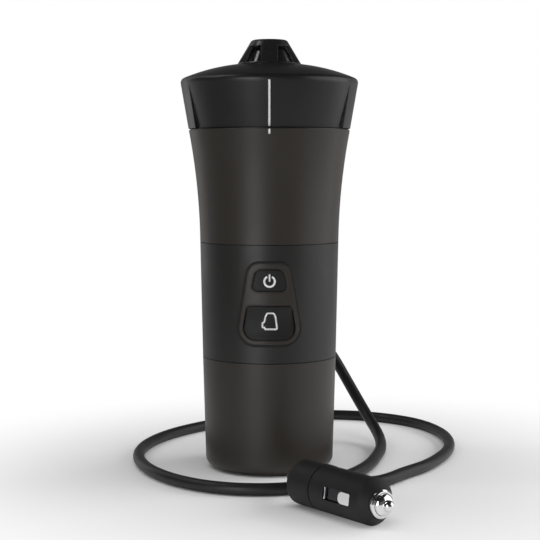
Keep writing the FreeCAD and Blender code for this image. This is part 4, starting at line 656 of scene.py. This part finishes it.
def cut_across(shape, axis):
    """Cuts a drawing into strips of one cell's width along an axis."""
    places = [vert.co[axis] for vert in shape.verts]
    square_to = Vector([float(axis == turn) for turn in range(3)])
    level = min(places) + CELL * MM
    while level < max(places):
        bmesh.ops.bisect_plane(
            shape, geom=shape.verts[:] + shape.edges[:] + shape.faces[:], dist=CUT_WELD * MM,
            plane_co=square_to * level, plane_no=square_to,
        )
        level += CELL * MM


def surface_of(node):
    """A tree that finds where a line meets a solid's surface."""
    mesh = frame["nodes"][node].data
    places = [vert.co for vert in mesh.vertices]
    return BVHTree.FromPolygons(places, [face.vertices for face in mesh.polygons])


def print_on(name, shape, node):
    """Lays a flat drawing on a solid's front and gives it the ink's thickness."""
    surface = surface_of(node)
    cut_across(shape, 0)
    cut_across(shape, 2)
    bmesh.ops.triangulate(shape, faces=shape.faces[:])
    for vert in shape.verts:
        meets = surface.ray_cast(Vector((vert.co.x, IN_FRONT * MM, vert.co.z)), Vector((0, 1, 0)))[0]
        vert.co.y = meets.y - PROUD * MM
    shape.normal_update()
    bmesh.ops.solidify(shape, geom=shape.faces[:], thickness=FILM * MM)
    bmesh.ops.recalc_face_normals(shape, faces=shape.faces[:])
    mark = place_piece(name, shape, mark_ink, BODY_OF[node], creased=False)
    print(name, "faces:", len(mark.data.polygons))


# %% [markdown]
# The index line shows how far the lid is turned. It is one stroke over two pieces, and each
# half has to ride on its own piece, so it is printed in two.

# %% Index line
LINE_WIDTH = 1.05
lid_line = upright(0, low=175.1, high=197.4, width=LINE_WIDTH, radius=0.25)
casing_line = upright(0, low=171.4, high=173.9, width=LINE_WIDTH, radius=0.3)
print_on("index_line_lid", lid_line, "lid_shell")
print_on("index_line_casing", casing_line, "upper_shell")

# %% [markdown]
# The power sign is an open ring with a stroke in its gap. The ring could be cut out of a
# disc. It is simpler to spin a short edge round the sign's centre, from one side of the gap
# to the other.

# %% Power sign
SIGN_ACROSS = 0.1
SIGN_UP = 98.95
SIGN_RADIUS = 2.6
SIGN_STROKE = 1.0
SIGN_GAP = math.radians(52)
SIGN_STEPS = 32
BAR_WIDTH = 0.9
ring = bmesh.new()
radii = (SIGN_RADIUS - SIGN_STROKE / 2, SIGN_RADIUS + SIGN_STROKE / 2)
ends = [ring.verts.new((SIGN_ACROSS * MM, 0, (SIGN_UP + radius) * MM)) for radius in radii]
start_edge = ring.edges.new(ends)
centre = Vector((SIGN_ACROSS * MM, 0, SIGN_UP * MM))
bmesh.ops.rotate(ring, cent=centre, matrix=Matrix.Rotation(SIGN_GAP / 2, 3, "Y"), verts=ring.verts[:])
bmesh.ops.spin(
    ring, geom=[*ends, start_edge], cent=centre, axis=(0, 1, 0), angle=2 * math.pi - SIGN_GAP,
    steps=SIGN_STEPS,
)
ring.normal_update()
if sum(face.normal.y for face in ring.faces) > 0:
    bmesh.ops.reverse_faces(ring, faces=ring.faces[:])
bar = upright(SIGN_ACROSS, low=98.85, high=102.7, width=BAR_WIDTH, radius=0.42)
print_on("power_sign_ring", ring, "power_button")
print_on("power_sign_bar", bar, "power_button")

# %% [markdown]
# The cup is an outline with a stroke of even width, so only the middle of its stroke is
# written down. Insetting that face outwards and then inwards again leaves the stroke as a
# closed border. The two top corners and the right foot are rounded first.

# %% Cup sign
CUP_STROKE = 0.87
CUP = [
    (-1.1, 83.1), (2.19, 83.1), (3.06, 81.2), (3.65, 77.0), (3.82, 75.1), (-1.97, 75.1),
    (-2.49, 76.0), (-3.2, 76.0), (-3.46, 76.5), (-3.4, 78.2), (-2.49, 78.75), (-1.97, 81.2),
]
EASED_CORNERS = (0, 1, 4)
EASED_BY = 0.6
cup = drawing(CUP)
cup.verts.ensure_lookup_table()
ease(cup, [cup.verts[place] for place in EASED_CORNERS], EASED_BY)
inside = cup.faces[:]
for thickness in (-CUP_STROKE / 2, CUP_STROKE):
    border = bmesh.ops.inset_region(
        cup, faces=inside, thickness=thickness * MM, use_boundary=True, use_even_offset=True,
    )["faces"]
    bmesh.ops.delete(cup, geom=border if thickness < 0 else inside, context="FACES")
print_on("cup_sign", cup, "brew_button")

# %% [markdown]
# ## The camera
# The machine stands on a table and is seen from a little above its middle, from 0.72 m. A
# longer lens from further off would frame it the same, but would flatten the loop of the
# cord. The horizon and the widths of the cord's near and far loops fixed both.

# %% Camera
CAMERA_PLACE = (0.00034, -0.72355, 0.15679)
CAMERA_DOWN = 4.33
camera_data = bpy.data.cameras.new("camera")
camera_data.sensor_width = 36.0
camera_data.lens = 93.33
camera_data.clip_start = 0.01
camera = bpy.data.objects.new("camera", camera_data)
camera.location = CAMERA_PLACE
camera.rotation_euler = (math.radians(90 - CAMERA_DOWN), 0, 0)
scene.collection.objects.link(camera)
scene.camera = camera
print("camera %.2f m in front, looking down by %.1f degrees" % (-CAMERA_PLACE[1], CAMERA_DOWN))

# %% [markdown]
# ## The cord
# A limp lead of 6 mm leaves the back in a ribbed gland, drops to the table on the right,
# passes in front, loops round behind, and comes back over itself into the plug. Straight runs
# with rounded corners would look like bent wire. A real lead takes the smoothest line that
# its stiffness allows, so it is one NURBS curve: the points below pull it, and it passes near
# them without a kink.

# %% Cord
CORD_ROUTE = [
    (0, 56, 88), (0, 68, 88), (2.5, 79, 84), (8, 87.5, 76), (20.5, 89.5, 64), (35, 87, 49),
    (45.5, 79.5, 31), (55, 67.5, 15), (61.5, 49.5, 5.5), (61, 27.5, 3.1), (56.5, 4.5, 3.1),
    (50.5, -18.5, 3.1), (40, -40.5, 3.1), (25, -60, 3.1), (3.5, -71, 3.1), (-23.5, -68.5, 3.1),
    (-47, -51, 3.1), (-64, -21.5, 3.1), (-71.5, 16.5, 3.1), (-62.5, 58, 3.1), (-37, 95.5, 3.1),
    (1.5, 122.5, 3.1), (46.5, 130.5, 3.1), (84, 108.5, 3.1), (100, 71.5, 3.1), (99.5, 27.5, 3.1),
    (83, -14.5, 3.1), (67, -34.5, 3.1), (57.5, -50, 3.1), (48, -57, 3.1), (38.2, -59, 5.2),
    (29.2, -57.6, 9.9), (20.2, -56.9, 9.6), (14.2, -62.3, 9.7), (11.2, -69.6, 9.9), (11.2, -78.8, 10.5),
    CORD_END,
]
CORD_RADIUS = 3
power_cord, line = round_bar("power_cord", "NURBS", CORD_ROUTE, CORD_RADIUS, cord_pvc, sides=6)
line.order_u = 3
line.use_endpoint_u = True
power_cord.data.resolution_u = 12
power_cord.data.use_fill_caps = True
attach(power_cord, "base")
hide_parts("cord")
print("points on the cord's route:", len(line.points))

# %% [markdown]
# ## Table
# The picture is a studio shot on a white sweep, a sheet that runs from under the machine up
# behind it. A curved sheet could be built, but its brightness would hang on the lamps. So
# the table is flat. Near the machine it is white paint that keeps the shadow, and further out
# it turns into plain white for rays from the camera or through glass. In reflections it is
# dimmer, and dimmest in front, as a studio is dark round its camera.

# %% Paint of the table
# The paint starts to fade at the first distance from its middle and is gone at the second.
PAINT_MIDDLE = (0.03, -0.01, 0)
PAINT_FADES = (0.06, 0.25)
MIRRORED_PAINT_FADES = (0.22, 0.45)


def ray_kinds(finish):
    """Two outputs: 1 for a ray that shows the background plainly, and 1 for one that mirrors it."""
    rays = add(finish, "LightPath").outputs
    plain = add(
        finish, "Math", {"operation": "MAXIMUM"},
        links={0: rays["Is Camera Ray"], 1: rays["Is Transmission Ray"]},
    )
    return plain.outputs["Value"], rays["Is Glossy Ray"]


table_paint, place = new_finish("table_paint_white")
paint = shader_of(table_paint)
paint.inputs["Base Color"].default_value = colour("f4f4f4")
paint.inputs["Roughness"].default_value = 0.6
paint.inputs["Specular IOR Level"].default_value = 0.1
from_middle = add(
    table_paint, "VectorMath", {"operation": "SUBTRACT"}, sockets={1: PAINT_MIDDLE}, links={0: place},
)
reach = add(table_paint, "VectorMath", {"operation": "LENGTH"}, links={0: from_middle.outputs["Vector"]})
plain, mirrored = ray_kinds(table_paint)
shares = []
for ray, (start, end) in ((plain, PAINT_FADES), (mirrored, MIRRORED_PAINT_FADES)):
    fade = add(
        table_paint, "MapRange", {"interpolation_type": "SMOOTHSTEP"},
        sockets={"From Min": start, "From Max": end}, links={"Value": reach.outputs["Value"]},
    )
    share = add(table_paint, "Math", {"operation": "MULTIPLY"}, links={0: fade.outputs["Result"], 1: ray})
    shares.append(share.outputs["Value"])
white_share = add(table_paint, "Math", {"operation": "ADD"}, links={0: shares[0], 1: shares[1]})
print("table is painted within %.2f m, and plain white past %.2f m" % PAINT_FADES)

# %% White of the sweep
WHITE_IN_FRONT = 0.2
WHITE_BEHIND = 0.5
depth = add(table_paint, "SeparateXYZ", links={"Vector": place})
mirrored_white = add(
    table_paint, "MapRange", {"interpolation_type": "SMOOTHSTEP"},
    sockets={"From Min": 0.0, "From Max": 0.3, "To Min": WHITE_IN_FRONT, "To Max": WHITE_BEHIND},
    links={"Value": depth.outputs["Y"]},
)
white = add(
    table_paint, "Mix", {"data_type": "FLOAT"}, sockets={NUMBER_A: 1.0},
    links={"Factor": mirrored, NUMBER_B: mirrored_white.outputs["Result"]},
)
sweep = add(table_paint, "Emission", links={"Strength": white.outputs[NUMBER_OUT]})
blend = add(
    table_paint, "MixShader",
    links={0: white_share.outputs["Value"], 1: paint.outputs["BSDF"], 2: sweep.outputs["Emission"]},
)
surface = table_paint.node_tree.nodes["Material Output"].inputs["Surface"]
table_paint.node_tree.links.new(blend.outputs["Shader"], surface)
print("white in reflections: %.1f in front, %.1f behind" % (WHITE_IN_FRONT, WHITE_BEHIND))

# %% Table
BELOW_FOOT = 0.05
TABLE_REACH = 3.0
sheet = bmesh.new()
bmesh.ops.create_grid(sheet, x_segments=1, y_segments=1, size=TABLE_REACH)
bmesh.ops.translate(sheet, vec=(0, 0, -BELOW_FOOT * MM), verts=sheet.verts)
table_mesh = bpy.data.meshes.new("table_top")
sheet.to_mesh(table_mesh)
sheet.free()
table_mesh.materials.append(table_paint)
table = bpy.data.objects.new("table_top", table_mesh)
scene.collection.objects.link(table)
print("table lies %.2f mm under the foot" % BELOW_FOOT)

# %% [markdown]
# ## World
# Past the table's edge the world takes over. A plain white world would flood the machine with
# light from all sides and wash out its dark plastics. So it is white to the camera and
# through glass only. On the machine it gives a weak, even light, and in reflections a glow
# low behind the machine, which shows where the white wall would be.

# %% World
AMBIENT = 0.25
world = bpy.data.worlds.new("studio")
scene.world = world
world.use_nodes = True
world.node_tree.nodes.clear()
plain, mirrored = ray_kinds(world)
toward = add(world, "SeparateXYZ", links={"Vector": add(world, "TexCoord").outputs["Generated"]})
behind = add(
    world, "MapRange", {"interpolation_type": "SMOOTHSTEP"},
    sockets={"From Min": 0.35, "From Max": 0.8, "To Min": 0.1, "To Max": 0.3},
    links={"Value": toward.outputs["Y"]},
)
low = add(
    world, "MapRange", {"interpolation_type": "SMOOTHSTEP"},
    sockets={"From Min": 0.2, "From Max": 0.5, "To Min": 1.0, "To Max": 0.2},
    links={"Value": toward.outputs["Z"]},
)
glow = add(
    world, "Math", {"operation": "MULTIPLY"}, links={0: behind.outputs["Result"], 1: low.outputs["Result"]},
)
unseen = add(
    world, "Mix", {"data_type": "FLOAT"}, sockets={NUMBER_A: AMBIENT},
    links={"Factor": mirrored, NUMBER_B: glow.outputs["Value"]},
)
strength = add(
    world, "Mix", {"data_type": "FLOAT"}, sockets={NUMBER_B: 1.0},
    links={"Factor": plain, NUMBER_A: unseen.outputs[NUMBER_OUT]},
)
sky = add(
    world, "Background", sockets={"Color": (1, 1, 1, 1)}, links={"Strength": strength.outputs[NUMBER_OUT]},
)
add(world, "OutputWorld", links={"Surface": sky.outputs["Background"]})
print("light from all sides:", AMBIENT)

# %% [markdown]
# ## Lamps
# Dark plastic shows its form by what it mirrors, so each lamp is a softbox that draws one
# thing: the front one the pale band left of the middle, the left strip and the right softbox
# the casing's edges, the upper strip the gleam on the nozzle, and the low one the band on the
# lid, which leans forward and so mirrors what lies in front of the table. The low one would
# also brighten the table, so it shows in reflections only. The back and top lamps are there
# for the table, so they don't show in reflections.

# %% Lamps
def lamp(name, place, aim, size, power):
    """A rectangular lamp that looks at a point, with its size in metres and its power in watts."""
    data = bpy.data.lights.new(name, "AREA")
    data.shape = "RECTANGLE"
    data.size, data.size_y = size
    data.energy = power
    thing = bpy.data.objects.new(name, data)
    thing.location = place
    thing.rotation_euler = (Vector(aim) - Vector(place)).to_track_quat("-Z", "Y").to_euler()
    scene.collection.objects.link(thing)
    return thing


MIDDLE = (0, 0, 0.11)
lamp("front_softbox", (-0.48, -0.95, 0.28), MIDDLE, (0.46, 0.6), 2.1)
lamp("left_strip", (-0.75, 0.75, 0.5), MIDDLE, (0.3, 1.4), 0.9)
lamp("right_softbox", (0.9, -0.05, 0.4), MIDDLE, (1.2, 0.9), 4.1)
lamp("upper_left_strip", (-0.62, 0.0, 0.88), (0, 0, 0.2), (0.12, 0.5), 1.0)
low_front = lamp("low_front_softbox", (-0.24, -0.66, 0.004), (-0.05, -0.1, 0.19), (0.2, 0.25), 0.5)
low_front.visible_diffuse = False
right_back = lamp("right_back_softbox", (0.8, 0.3, 0.45), (0, 0, 0.05), (0.5, 0.5), 3.2)
right_back.visible_glossy = False
top_softbox = lamp("top_softbox", (0.0, -0.3, 1.05), (0, -0.03, 0), (0.8, 0.7), 2.6)
top_softbox.visible_glossy = False
scene.view_settings.view_transform = "Standard"
print("lamps:", len(bpy.data.lights))
